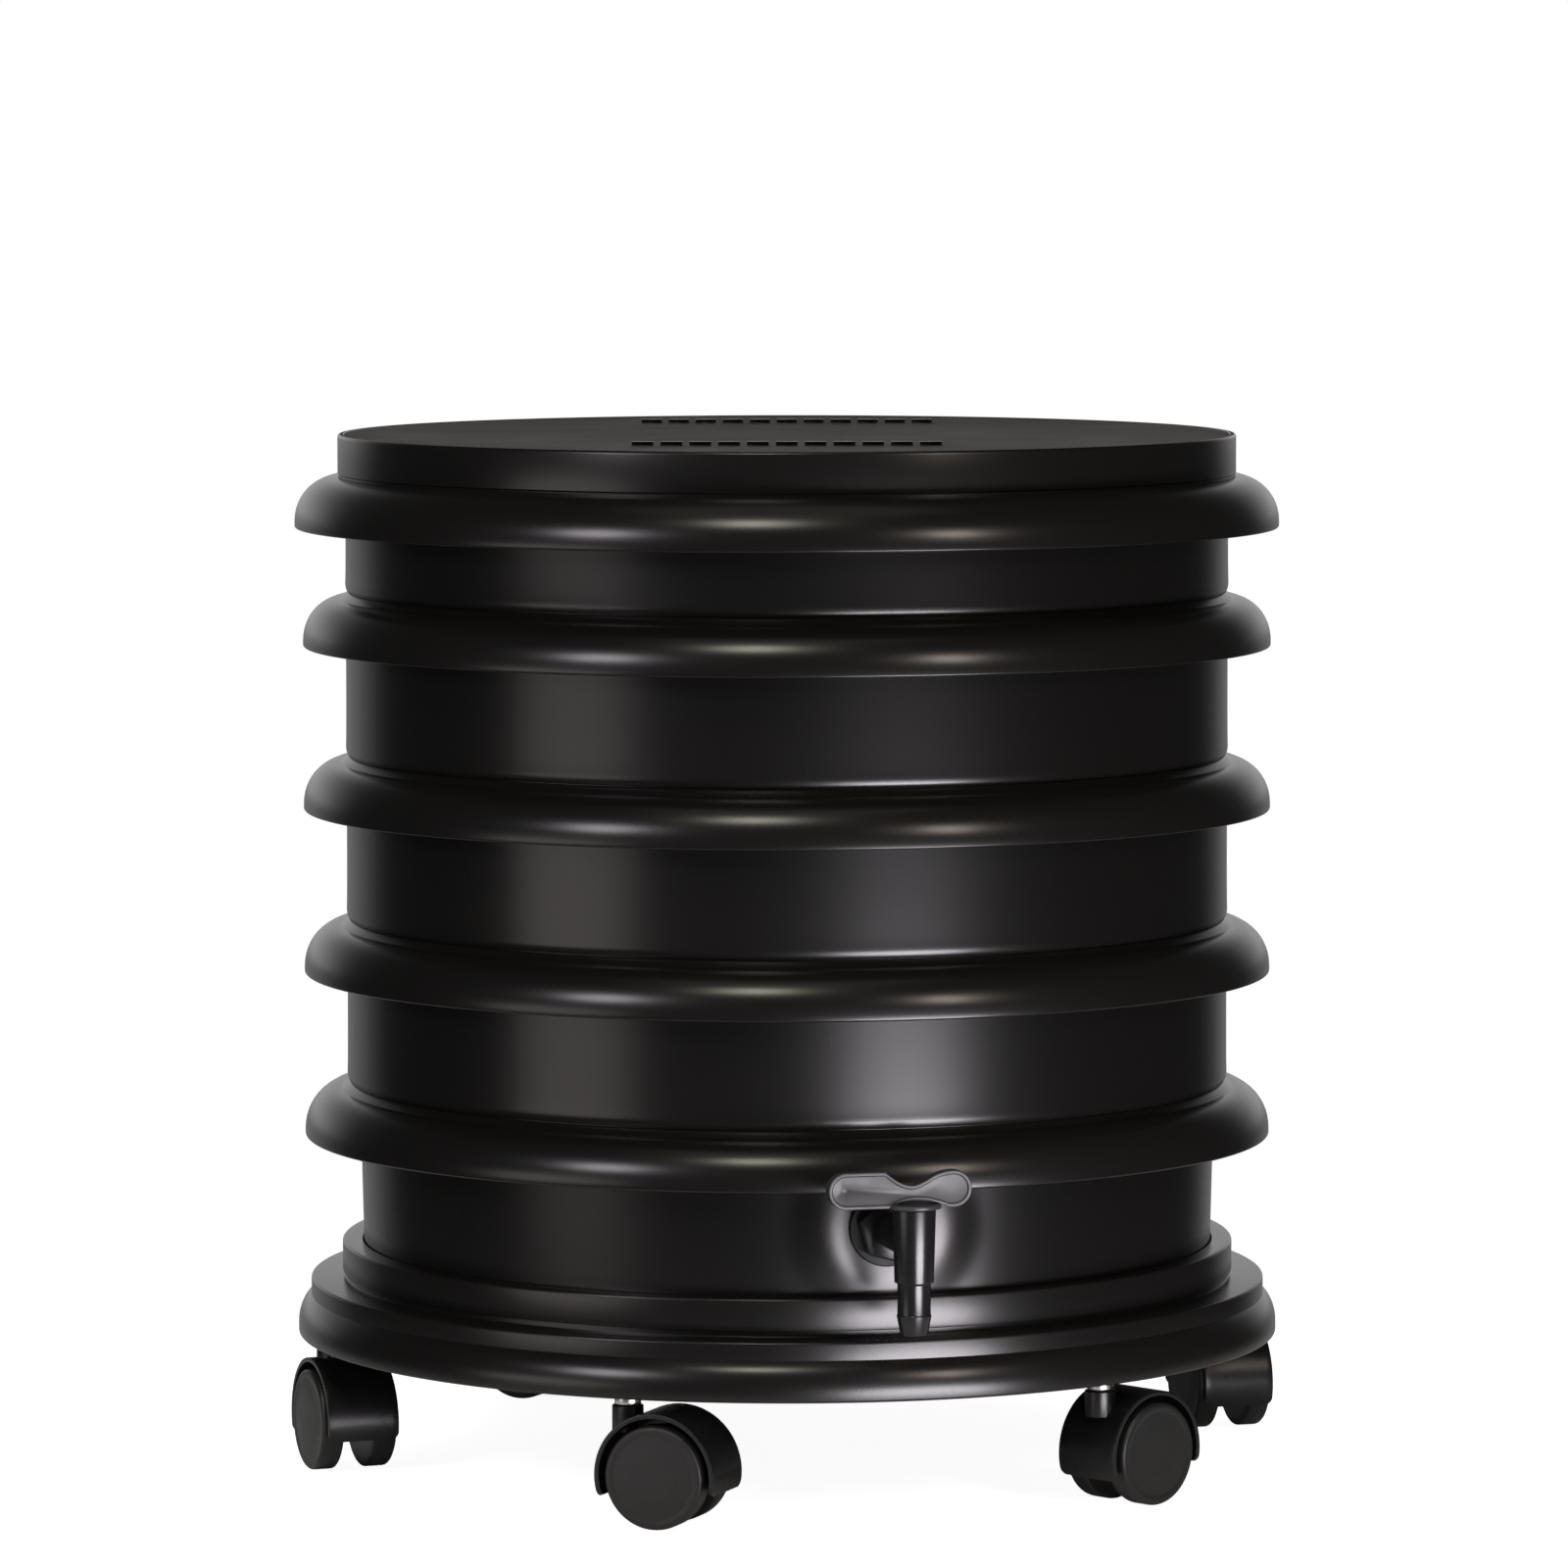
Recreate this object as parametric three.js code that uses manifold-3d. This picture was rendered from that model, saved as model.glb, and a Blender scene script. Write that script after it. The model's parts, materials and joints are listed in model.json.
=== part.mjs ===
import * as THREE from 'three';
import { mergeVertices } from 'three/addons/utils/BufferGeometryUtils.js';
import Module from 'manifold-3d';

// Wormery: a stack of round trays on a wheeled plinth, with a drain tap.
// Millimetres, +Z up, origin on the drum's axis at floor level, front towards -Y.

const wasm = await Module();
wasm.setup();

// Facets round each kind of round piece
const drumSides = 36;
const wheelSides = 16;
const pinSides = 10;
const tubeSides = 16;
const holeSides = 6;
const hexSides = 6;
const bossSides = 8;
const fenderSteps = 7;
const plateSteps = 4;
const curveSteps = 3;
const underSteps = 2;
const flareSteps = 2;
const weldTolerance = 1e-4;

// Clearances, and how far cuts and joins run on
const seatGap = 0.3;
const slipGap = 0.6;
const overrun = 2;
const joinDepth = 2;

// Tray shells
const rimRadius = 260.8;
const rimBand = 3.2;
const rimCurveHeight = 22.6;
const rimDrop = 3.5;
const rimOverhang = 22.8;
const rimShelf = 3;
const rimLandWidth = 0.5;
const rimThickness = 3;
const wallThickness = 3.7;
const footChamfer = 1.6;
const spigotDepth = 12;
const floorThickness = 3;
const trayPitch = 88;
const trayCount = 3;

// Drain holes in the tray floors
const holeRadius = 6;
const holeRings = [
  { count: 6, radiusShare: 0.36 },
  { count: 11, radiusShare: 0.76 },
];

// Top tray and lid
const topRimBand = 3.4;
const topRimCurveHeight = 18.3;
const topTrayHeight = 56.8;
const lidRimGap = 1.2;
const lidWall = 3;
const lidSkirtStep = 0.8;
const lidFlareCurve = 23.5;
const lidFlareRise = 1.6;
const lidSkirt = 23.1;
const lidLipBelow = 0.5;
const lidEdge = 1.5;

// Vent hoods moulded on the lid, in two rows
const ventLength = 11.5;
const ventDepth = 14;
const ventHeight = 1.8;
const ventGap = 3.5;
const ventCount = 11;
const ventRowFront = 150;
const ventRowBack = 142;

// Collector basin
const basinInset = 6.5;
const basinTaper = 2.5;
const basinWall = 3.7;
const basinHeight = 103.6;
const basinShoulder = 7;

// Plinth
const flareProud = 4.2;
const flareBand = 5.1;
const flareHeight = 21;
const flareReach = 12.4;
const lowerStepInset = 7;
const lowerStepHeight = 9.5;
const grooveHeight = 3.2;
const grooveDepth = 1.5;
const upperStepInset = 17;
const upperStepHeight = 16.7;
const wellDepth = 17.4;
const deckThickness = 5.5;
const flareWall = 3;
const ribWidth = 3;
const ribDepth = 14;
const hubRadius = 26;
const socketRadius = 8.2;
const socketDepth = 24;

// Casters
const casterCount = 6;
const firstCasterTurn = -19.2;
const casterHeadings = [68.3, 134.5, 197.3, 165, 65.2, 21.2];
const stemInset = 15.5;
const wheelRadius = 26.9;
const wheelWidth = 12.5;
const wheelGap = 17.5;
const wheelEdge = 2;
const wheelFace = 4.3;
const axleRadius = 3;
const axleBossRadius = 7;
const hoodGap = 3.8;
const hoodWall = 2.4;
const hoodDrop = 8;
const hoodHeelDrop = 11.4;
const hoodReveal = 1.75;
const webThickness = 8;
const stemLean = 47.6;
const neckGap = 0.6;
const neckAbove = 1;
const stemRadius = 4.5;
const stemGrip = 11;
const collarRadius = 6.9;
const collarHeight = 4.2;

// Tap
const tapTurn = 12.8;
const tapRaise = 2.475;
const padRadius = 23;
const padProud = 1;
const inletRadius = 9;
const inletBore = 5.5;
const gasketRadius = 20;
const gasketThickness = 3;
const nutAcrossFlats = 30;
const nutThickness = 9;
const washerRadius = 18;
const washerThickness = 2;
const backNutThickness = 8;
const inletTail = 4;
const barrelReach = 60;
const barrelTopRadius = 11.1;
const barrelFootRadius = 10.05;
const barrelAbove = 17.9;
const barrelBelow = 20.5;
const spoutRadius = 8.5;
const spoutLength = 16.2;
const barbRadius = 8.95;
const barbTipRadius = 6.95;
const barbLength = 10;
const spoutBore = 4.9;
const plugRadius = 7;
const plugWall = 2.2;
const plugFoot = 14;
const plugCollarRadius = 13.9;
const plugCollarHeight = 2.4;
const plateThickness = 7;
const plateHeight = 18.8;
const plateDrop = 2;
const longArm = 45.3;
const shortArm = 29.4;
const waistDip = 7.2;
const footArch = 3.9;
const faceBorder = 1.9;
const faceRecess = 0.8;
const plateNeckWidth = 14;

// Shares of the handle's plate where its waist begins and ends
const waistStartShare = 0.35;
const waistMiddleShare = 0.03;
const waistEndShare = 0.62;
const archStartShare = 0.31;
const archEndShare = 0.6;

// Radii and heights that follow from the rim
const wallRadius = rimRadius - rimOverhang;
const rimShelfRadius = wallRadius + rimShelf;
const topRimHeight = topRimBand + topRimCurveHeight;
const lidFlareRadius = rimRadius + lidRimGap + lidWall;
const lidRadius = rimShelfRadius + lidSkirtStep;
const basinTopRadius = wallRadius - basinInset;
const basinFootRadius = basinTopRadius - basinTaper;
const flareRadius = rimRadius + flareProud;
const lowerStepRadius = flareRadius - lowerStepInset;
const upperStepRadius = lowerStepRadius - upperStepInset;

// Heights worked out from the floor up
const axleHeight = wheelRadius;
const hoodInner = wheelRadius + hoodGap;
const hoodOuter = hoodInner + hoodWall;
const leanAngle = THREE.MathUtils.degToRad(stemLean);
const trail = hoodOuter * Math.cos(leanAngle);
const neckBottom = axleHeight + hoodInner * Math.sin(leanAngle) - hoodWall;
const neckTop = axleHeight + hoodOuter + neckAbove;
const plinthBottom = neckTop + collarHeight + seatGap + seatGap;
const lowerStepBottom = plinthBottom + flareHeight;
const lowerStepTop = lowerStepBottom + lowerStepHeight;
const upperStepBottom = lowerStepTop + grooveHeight;
const plinthTop = upperStepBottom + upperStepHeight;
const deckTop = plinthTop - wellDepth;
const deckBottom = deckTop - deckThickness;
const basinBottom = deckTop + seatGap;
const basinTop = basinBottom + basinHeight;
const stemCircle = flareRadius - stemInset;

// The tap stands a little above the middle of the basin's open wall
const basinShelf = basinTop - spigotDepth - slipGap;
const basinShoulderTop = basinShelf - basinWall / 2;
const basinShoulderFoot = basinShoulderTop - basinShoulder;
const tapHeight = (plinthTop + basinShoulderFoot) / 2 + tapRaise;
const tapRise = tapHeight - basinBottom;

// Radii worked out for the nesting shells
const boreRadius = wallRadius - wallThickness;
const spigotRadius = boreRadius - slipGap;
const spigotInner = spigotRadius - wallThickness;
const wellRadius = basinFootRadius + (basinTopRadius - basinFootRadius) * wellDepth / basinHeight + slipGap;

const degrees = THREE.MathUtils.degToRad;

// A point on the plan circle: turn 0 is the front, positive to the right
function planPoint(turn, radius) {
  const a = degrees(turn);
  return new THREE.Vector3(radius * Math.sin(a), -radius * Math.cos(a), 0);
}

// Materials
const materials = {
  shell: new THREE.MeshStandardMaterial({ color: 0x1b1a1a, roughness: 0.36, metalness: 0 }),
  tap: new THREE.MeshStandardMaterial({ color: 0x1d1d1e, roughness: 0.3, metalness: 0 }),
  handle: new THREE.MeshStandardMaterial({ color: 0x29292a, roughness: 0.42, metalness: 0 }),
  caster: new THREE.MeshStandardMaterial({ color: 0x1f1f1f, roughness: 0.55, metalness: 0 }),
  rubber: new THREE.MeshStandardMaterial({ color: 0x151515, roughness: 0.8, metalness: 0 }),
  steel: new THREE.MeshStandardMaterial({ color: 0xb9babc, roughness: 0.3, metalness: 1 }),
};

// Solid from a closed three.js geometry
function toSolid(geometry) {
  const bare = geometry.index ? geometry.toNonIndexed() : geometry.clone();
  bare.deleteAttribute('normal');
  bare.deleteAttribute('uv');
  const merged = mergeVertices(bare, weldTolerance);
  const places = merged.getAttribute('position').array;
  const corners = merged.getIndex().array;
  const kept = [];
  for (let i = 0; i < corners.length; i += 3) {
    const [a, b, c] = [corners[i], corners[i + 1], corners[i + 2]];
    if (a !== b && b !== c && c !== a) {
      kept.push(a, b, c);
    }
  }
  const mesh = new wasm.Mesh({
    numProp: 3,
    vertProperties: new Float32Array(places),
    triVerts: new Uint32Array(kept),
  });
  return new wasm.Manifold(mesh);
}

// Geometry from a solid
function toGeometry(solid) {
  const mesh = solid.getMesh();
  const geometry = new THREE.BufferGeometry();
  geometry.setAttribute('position', new THREE.BufferAttribute(mesh.vertProperties.slice(), 3));
  geometry.setIndex(new THREE.BufferAttribute(mesh.triVerts.slice(), 1));
  const flat = geometry.toNonIndexed();
  flat.computeVertexNormals();
  return flat;
}

// Turned solid about +Z from a list of [radius, height]
function turned(points, sides, halfStep = false) {
  const profile = points.map(([r, z]) => new THREE.Vector2(r, z));
  const geometry = new THREE.LatheGeometry(profile, sides);
  geometry.rotateX(Math.PI / 2);
  if (halfStep) {
    geometry.rotateZ(Math.PI / sides);
  }
  return toSolid(geometry);
}

// Upright rod between two heights
function rod(radius, bottom, top, sides) {
  return turned([[0, bottom], [radius, bottom], [radius, top], [0, top]], sides);
}

// Circumscribed radius of a bore that clears a round pin
function boreFor(radius, gap, sides) {
  return (radius + gap) / Math.cos(Math.PI / sides);
}

// Box from its two corners
function block(low, high) {
  const size = new THREE.Vector3().subVectors(high, low);
  const geometry = new THREE.BoxGeometry(size.x, size.y, size.z);
  geometry.translate((low.x + high.x) / 2, (low.y + high.y) / 2, (low.z + high.z) / 2);
  return toSolid(geometry);
}

// A solid moved by a matrix
function placed(solid, matrix) {
  return solid.transform(matrix.elements);
}

// Plan rotation and shift
function planMatrix(turn, at) {
  const matrix = new THREE.Matrix4().makeRotationZ(degrees(turn));
  matrix.setPosition(at.x, at.y, at.z);
  return matrix;
}

// Elliptic shoulder from the outer band up and in; with the reach left out it ends level
function shoulderCurve(outer, inner, low, high, steps, reach = outer - inner) {
  const middle = outer - reach;
  const last = Math.acos((inner - middle) / reach);
  const rise = (high - low) / Math.sin(last);
  const points = [];
  for (let i = 1; i <= steps; i += 1) {
    const a = last * (i / steps);
    points.push([middle + reach * Math.cos(a), low + rise * Math.sin(a)]);
  }
  return points;
}

// Rim shapes: the trays' rims spring from the wall a little below the land that carries the next tray
const trayRim = {
  band: rimBand,
  curve: rimCurveHeight,
  land: [[wallRadius + rimLandWidth, -rimDrop], [wallRadius + rimLandWidth, 0]],
  drop: rimDrop,
};
const topRim = { band: topRimBand, curve: topRimCurveHeight, land: [], drop: 0 };

// The turned-down rim, from its underside at the wall to its land on top
function rimProfile(wall, top, rim) {
  const shelf = top - rim.drop;
  const bandTop = shelf - rim.curve;
  const bottom = bandTop - rim.band;
  const under = shelf - rimThickness;
  const inner = rimRadius - rimThickness;
  return [
    [wall, under],
    ...shoulderCurve(inner, rimShelfRadius, bandTop, under, underSteps).reverse(),
    [inner, bandTop],
    [inner, bottom],
    [rimRadius, bottom],
    [rimRadius, bandTop],
    ...shoulderCurve(rimRadius, rimShelfRadius, bandTop, shelf, curveSteps),
    ...rim.land.map(([radius, fall]) => [radius, top + fall]),
  ];
}

const group = new THREE.Group();

function add(name, solid, material) {
  const mesh = new THREE.Mesh(toGeometry(solid), material);
  mesh.name = name;
  group.add(mesh);
}

// Perforated tray that stands on the land of the piece below
function makeTray(land, height, rim) {
  const seat = land + seatGap;
  const bottom = land - spigotDepth;
  const floorTop = bottom + floorThickness;
  const top = land + height;
  const step = land + wallThickness;
  let tray = turned([
    [0, bottom],
    [spigotRadius, bottom],
    [spigotRadius, seat],
    [wallRadius - footChamfer, seat],
    [wallRadius, seat + footChamfer],
    ...rimProfile(wallRadius, top, rim),
    [boreRadius, top],
    [boreRadius, step + wallThickness],
    [spigotInner, step],
    [spigotInner, floorTop],
    [0, floorTop],
  ], drumSides);
  for (const ring of holeRings) {
    const radius = spigotInner * ring.radiusShare;
    for (let i = 0; i < ring.count; i += 1) {
      const at = planPoint((360 * i) / ring.count, radius);
      const cutter = rod(holeRadius, bottom - overrun, floorTop + overrun, holeSides);
      tray = tray.subtract(placed(cutter, planMatrix(0, at)));
    }
  }
  return tray;
}

// Trays, named from the top down
let landHeight = basinTop;
for (let i = 0; i < trayCount; i += 1) {
  const name = `tray_${trayCount + 1 - i}`;
  add(name, makeTray(landHeight, trayPitch, trayRim), materials.shell);
  landHeight += trayPitch;
}
add('top_tray', makeTray(landHeight, topTrayHeight, topRim), materials.shell);
const topRimTop = landHeight + topTrayHeight;

// Lid: flat top, skirt and a flare that covers the top tray's rim
function makeLid() {
  const under = topRimTop + seatGap;
  const flareTop = under + lidWall + lidFlareRise;
  const flareBottom = topRimTop - topRimHeight - lidLipBelow;
  const top = flareTop + lidSkirt;
  const inner = lidFlareRadius - lidWall;
  const bandTop = flareTop - lidFlareCurve;
  const underBand = bandTop - lidWall / 2;
  const underCurve = shoulderCurve(inner, lidRadius, underBand, under, curveSteps);
  const skirtInner = lidRadius - lidWall;
  let lid = turned([
    [0, top - lidWall],
    [skirtInner, top - lidWall],
    [skirtInner, under],
    ...underCurve.reverse(),
    [inner, underBand],
    [inner, flareBottom],
    [lidFlareRadius, flareBottom],
    [lidFlareRadius, bandTop],
    ...shoulderCurve(lidFlareRadius, lidRadius, bandTop, flareTop, curveSteps),
    [lidRadius, top - lidEdge],
    [lidRadius - lidEdge, top],
    [0, top],
  ], drumSides);
  const ventPitch = ventLength + ventGap;
  for (const rowPlace of [-ventRowFront, ventRowBack]) {
    for (let i = 0; i < ventCount; i += 1) {
      const x = (i - (ventCount - 1) / 2) * ventPitch;
      const low = new THREE.Vector3(x - ventLength / 2, rowPlace - ventDepth / 2, top - lidWall / 2);
      const high = new THREE.Vector3(x + ventLength / 2, rowPlace + ventDepth / 2, top + ventHeight);
      lid = lid.add(block(low, high));
    }
  }
  return lid;
}
add('lid', makeLid(), materials.shell);

// The tap's frame: local +X runs out of the wall, +Z up, origin on the drum's axis
const tapMatrix = new THREE.Matrix4().makeRotationZ(degrees(tapTurn - 90));
tapMatrix.setPosition(0, 0, tapHeight);
const wallAtTap = basinFootRadius + (basinTopRadius - basinFootRadius) * tapRise / basinHeight;
const padFace = wallAtTap + padProud;
const padBack = (wallAtTap - basinWall) * Math.cos(Math.PI / drumSides) - padProud;
const barrelPlace = padFace + barrelReach;

// Rod lying along the tap's +X between two distances
function inletTube(radius, from, to, sides) {
  const upright = rod(radius, from, to, sides);
  return placed(upright, new THREE.Matrix4().makeRotationY(Math.PI / 2));
}

// Cut for the inlet between two distances
function inletHole(from, to) {
  const radius = boreFor(inletRadius, seatGap, tubeSides);
  return inletTube(radius, from - overrun, to + overrun, tubeSides);
}

// Collector basin: its wall widens under the rim to take the spigot of the tray above
function makeBasin() {
  const lean = (basinTopRadius - basinFootRadius) / basinHeight;
  const wallTopRadius = basinFootRadius + lean * (basinShoulderFoot - basinBottom);
  const floorTop = basinBottom + floorThickness;
  let basin = turned([
    [0, basinBottom],
    [basinFootRadius - footChamfer, basinBottom],
    [basinFootRadius, basinBottom + footChamfer],
    [wallTopRadius, basinShoulderFoot],
    [wallRadius, basinShoulderTop],
    ...rimProfile(wallRadius, basinTop, trayRim),
    [boreRadius, basinTop],
    [boreRadius, basinShelf],
    [wallTopRadius - basinWall, basinShelf - basinShoulder],
    [basinFootRadius - basinWall, floorTop],
    [0, floorTop],
  ], drumSides);
  basin = basin.add(placed(inletTube(padRadius, padBack, padFace, tubeSides), tapMatrix));
  return basin.subtract(placed(inletHole(padBack, padFace), tapMatrix));
}
add('collector_basin', makeBasin(), materials.shell);

// Ring on the inlet: a round washer or a hexagonal nut
function makeRing(radius, from, to, sides) {
  const ring = inletTube(radius, from, to, sides).subtract(inletHole(from, to));
  return placed(ring, tapMatrix);
}

// Tap body: hexagonal shoulder, inlet, upright barrel and hose spout
const gasketFrom = padFace + seatGap;
const gasketTo = gasketFrom + gasketThickness;
const shoulderFrom = gasketTo + seatGap;
const shoulderTo = shoulderFrom + nutThickness;
const washerTo = padBack - seatGap;
const washerFrom = washerTo - washerThickness;
const backNutTo = washerFrom - seatGap;
const backNutFrom = backNutTo - backNutThickness;
const inletFrom = backNutFrom - inletTail;
const hexRadius = nutAcrossFlats / 2 / Math.cos(Math.PI / hexSides);
const barrelTop = barrelAbove;
const barrelFoot = -barrelBelow;
const spoutFoot = barrelFoot - spoutLength;
const barbFoot = spoutFoot - barbLength;

function makeTapBody() {
  const at = new THREE.Matrix4().makeTranslation(barrelPlace, 0, 0);
  const plugBore = boreFor(plugRadius, seatGap, tubeSides);
  let body = placed(turned([
    [0, barbFoot],
    [barbTipRadius, barbFoot],
    [barbRadius, spoutFoot],
    [spoutRadius, spoutFoot],
    [spoutRadius, barrelFoot],
    [barrelFootRadius, barrelFoot],
    [barrelTopRadius, barrelTop],
    [0, barrelTop],
  ], tubeSides), at);
  body = body.add(inletTube(inletRadius, inletFrom, barrelPlace, tubeSides));
  body = body.add(inletTube(hexRadius, shoulderFrom, shoulderTo, hexSides));
  const plugCut = rod(plugBore, -plugFoot - seatGap, barrelTop + overrun, tubeSides);
  const spoutCut = rod(spoutBore, barbFoot - overrun, 0, tubeSides);
  body = body.subtract(placed(plugCut, at));
  body = body.subtract(placed(spoutCut, at));
  body = body.subtract(inletTube(inletBore, inletFrom - overrun, barrelPlace, tubeSides));
  return placed(body, tapMatrix);
}

// Outline of the handle's plate, long arm towards local -Y, in (arm, height)
function plateOutline(inset) {
  const lobe = plateHeight / 2 - inset;
  const low = inset;
  const high = plateHeight - inset;
  const longEnd = -longArm + inset + lobe;
  const shortEnd = shortArm - inset - lobe;
  const shape = new THREE.Shape();
  shape.moveTo(longEnd, low);
  shape.lineTo(-longArm * archStartShare, low);
  shape.quadraticCurveTo(-longArm * archStartShare / 2, low + footArch, 0, low + footArch);
  shape.quadraticCurveTo(shortArm * archEndShare / 2, low + footArch, shortArm * archEndShare, low);
  shape.lineTo(shortEnd, low);
  shape.absarc(shortEnd, plateHeight / 2, lobe, -Math.PI / 2, Math.PI / 2, false);
  shape.quadraticCurveTo(
    shortEnd * waistEndShare, high, shortEnd * waistEndShare / 2, high - waistDip * waistEndShare);
  shape.quadraticCurveTo(
    shortArm * waistMiddleShare, high - waistDip, -longArm * waistMiddleShare, high - waistDip);
  shape.quadraticCurveTo(
    -longArm * waistStartShare / 2, high - waistDip, -longArm * waistStartShare, high);
  shape.lineTo(longEnd, high);
  shape.absarc(longEnd, plateHeight / 2, lobe, Math.PI / 2, Math.PI * 1.5, false);
  return shape;
}

// A plate slab standing on edge, its face turned out along the tap's +X
function plateSlab(inset, from, to) {
  const geometry = new THREE.ExtrudeGeometry(plateOutline(inset), {
    depth: to - from,
    bevelEnabled: false,
    curveSegments: plateSteps,
  });
  const basis = new THREE.Matrix4().makeBasis(
    new THREE.Vector3(0, 1, 0), new THREE.Vector3(0, 0, 1), new THREE.Vector3(1, 0, 0));
  geometry.applyMatrix4(basis);
  geometry.translate(barrelPlace + from, 0, barrelTop + seatGap + plugCollarHeight - plateDrop);
  return toSolid(geometry);
}

// Tap handle with its plug, which turns in the barrel
function makeTapHandle() {
  const at = new THREE.Matrix4().makeTranslation(barrelPlace, 0, 0);
  const collarFoot = barrelTop + seatGap;
  const collarTop = collarFoot + plugCollarHeight;
  const plateFoot = collarTop - plateDrop;
  const waist = plateFoot + footArch + faceBorder;
  let handle = placed(turned([
    [0, -plugFoot],
    [plugRadius, -plugFoot],
    [plugRadius, collarFoot],
    [plugCollarRadius, collarFoot],
    [plugCollarRadius, collarTop],
    [0, collarTop],
  ], tubeSides), at);
  const half = plateThickness / 2;
  const neckHalf = half - faceRecess;
  handle = handle.add(plateSlab(0, -half, half));
  handle = handle.add(block(
    new THREE.Vector3(barrelPlace - neckHalf, -plateNeckWidth / 2, plateFoot),
    new THREE.Vector3(barrelPlace + neckHalf, plateNeckWidth / 2, waist)));
  handle = handle.subtract(plateSlab(faceBorder, neckHalf, plateThickness));
  const port = plugRadius - plugWall;
  handle = handle.subtract(placed(rod(port, -plugFoot - overrun, port, tubeSides), at));
  const sidePort = inletTube(port, 0, plugRadius + overrun, tubeSides);
  const sideMatrix = new THREE.Matrix4().makeTranslation(barrelPlace, 0, 0);
  sideMatrix.multiply(new THREE.Matrix4().makeRotationZ(Math.PI / 2));
  handle = handle.subtract(placed(sidePort, sideMatrix));
  return placed(handle, tapMatrix);
}

add('tap_body', makeTapBody(), materials.tap);
add('tap_handle', makeTapHandle(), materials.handle);
add('tap_gasket', makeRing(gasketRadius, gasketFrom, gasketTo, tubeSides), materials.rubber);
add('tap_washer', makeRing(washerRadius, washerFrom, washerTo, tubeSides), materials.rubber);
add('tap_back_nut', makeRing(hexRadius, backNutFrom, backNutTo, hexSides), materials.tap);

// Where each caster's stem stands
function casterSpot(index) {
  const turn = firstCasterTurn + (360 * index) / casterCount;
  return { turn, at: planPoint(turn, stemCircle) };
}

// Plinth: flare, two steps, a well for the basin, ribs and caster sockets
function makePlinth() {
  const flareInner = flareRadius - flareWall;
  const innerStep = lowerStepRadius - flareWall;
  const bandTop = plinthBottom + flareBand;
  const grooveRadius = upperStepRadius - grooveDepth;
  let plinth = turned([
    [0, deckBottom],
    [innerStep, deckBottom],
    [innerStep, lowerStepBottom - flareWall],
    [flareInner, bandTop],
    [flareInner, plinthBottom],
    [flareRadius, plinthBottom],
    [flareRadius, bandTop],
    ...shoulderCurve(flareRadius, lowerStepRadius, bandTop, lowerStepBottom, flareSteps, flareReach),
    [lowerStepRadius, lowerStepTop],
    [grooveRadius, lowerStepTop],
    [grooveRadius, upperStepBottom],
    [upperStepRadius, upperStepBottom],
    [upperStepRadius, plinthTop],
    [wellRadius, plinthTop],
    [wellRadius, deckTop],
    [0, deckTop],
  ], drumSides);
  const ribBottom = deckBottom - ribDepth;
  const joinTop = deckBottom + joinDepth;
  plinth = plinth.add(rod(hubRadius, ribBottom, joinTop, pinSides));
  const ribLow = new THREE.Vector3(-ribWidth / 2, -stemCircle, ribBottom);
  const ribHigh = new THREE.Vector3(ribWidth / 2, 0, joinTop);
  const bore = boreFor(stemRadius, seatGap, pinSides);
  for (let i = 0; i < casterCount; i += 1) {
    const spot = casterSpot(i);
    const rib = placed(block(ribLow, ribHigh), planMatrix(spot.turn, new THREE.Vector3()));
    const boss = rod(socketRadius, plinthBottom, joinTop, bossSides);
    const socket = rod(bore, plinthBottom - overrun, plinthBottom + socketDepth, pinSides);
    const socketMatrix = planMatrix(spot.turn, spot.at);
    plinth = plinth.add(rib).add(placed(boss, socketMatrix)).subtract(placed(socket, socketMatrix));
  }
  return plinth;
}
add('plinth', makePlinth(), materials.shell);

// Caster frame: stem on local Z at the origin, wheels trailing along local +X
const wheelInner = wheelGap / 2;
const wheelOuter = wheelInner + wheelWidth;
const boreEnd = wheelOuter - wheelFace;
const axleHalf = boreEnd - seatGap;
const hoodHalf = wheelOuter - hoodReveal;
const neckRadius = wheelInner - neckGap;
const collarBottom = neckTop + seatGap;
const collarTop = collarBottom + collarHeight;
const stemBottom = neckTop - stemGrip;
const stemTop = plinthBottom + socketDepth - seatGap;
const axleBore = boreFor(axleRadius, seatGap, pinSides);

// Lathe lying along local Y on the axle, from a list of [radius, distance]
function onAxle(points, sides, halfStep) {
  const matrix = new THREE.Matrix4().makeTranslation(trail, 0, axleHeight);
  matrix.multiply(new THREE.Matrix4().makeRotationX(-Math.PI / 2));
  return placed(turned(points, sides, halfStep), matrix);
}

function axleRod(radius, from, to) {
  return onAxle([[0, from], [radius, from], [radius, to], [0, to]], pinSides, false);
}

// Slab in the plane of the caster, of a given half width
function casterSlab(shape, halfWidth) {
  const geometry = new THREE.ExtrudeGeometry(shape, {
    depth: halfWidth * 2,
    bevelEnabled: false,
    curveSegments: fenderSteps,
  });
  geometry.rotateX(Math.PI / 2);
  geometry.translate(trail, halfWidth, axleHeight);
  return toSolid(geometry);
}

// Where the hood's arc of a given radius ends: ahead of the axle, and at the heel by the stem
function hoodEnds(radius) {
  return [-Math.asin(hoodDrop / radius), Math.PI + Math.asin(hoodHeelDrop / radius)];
}

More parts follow.
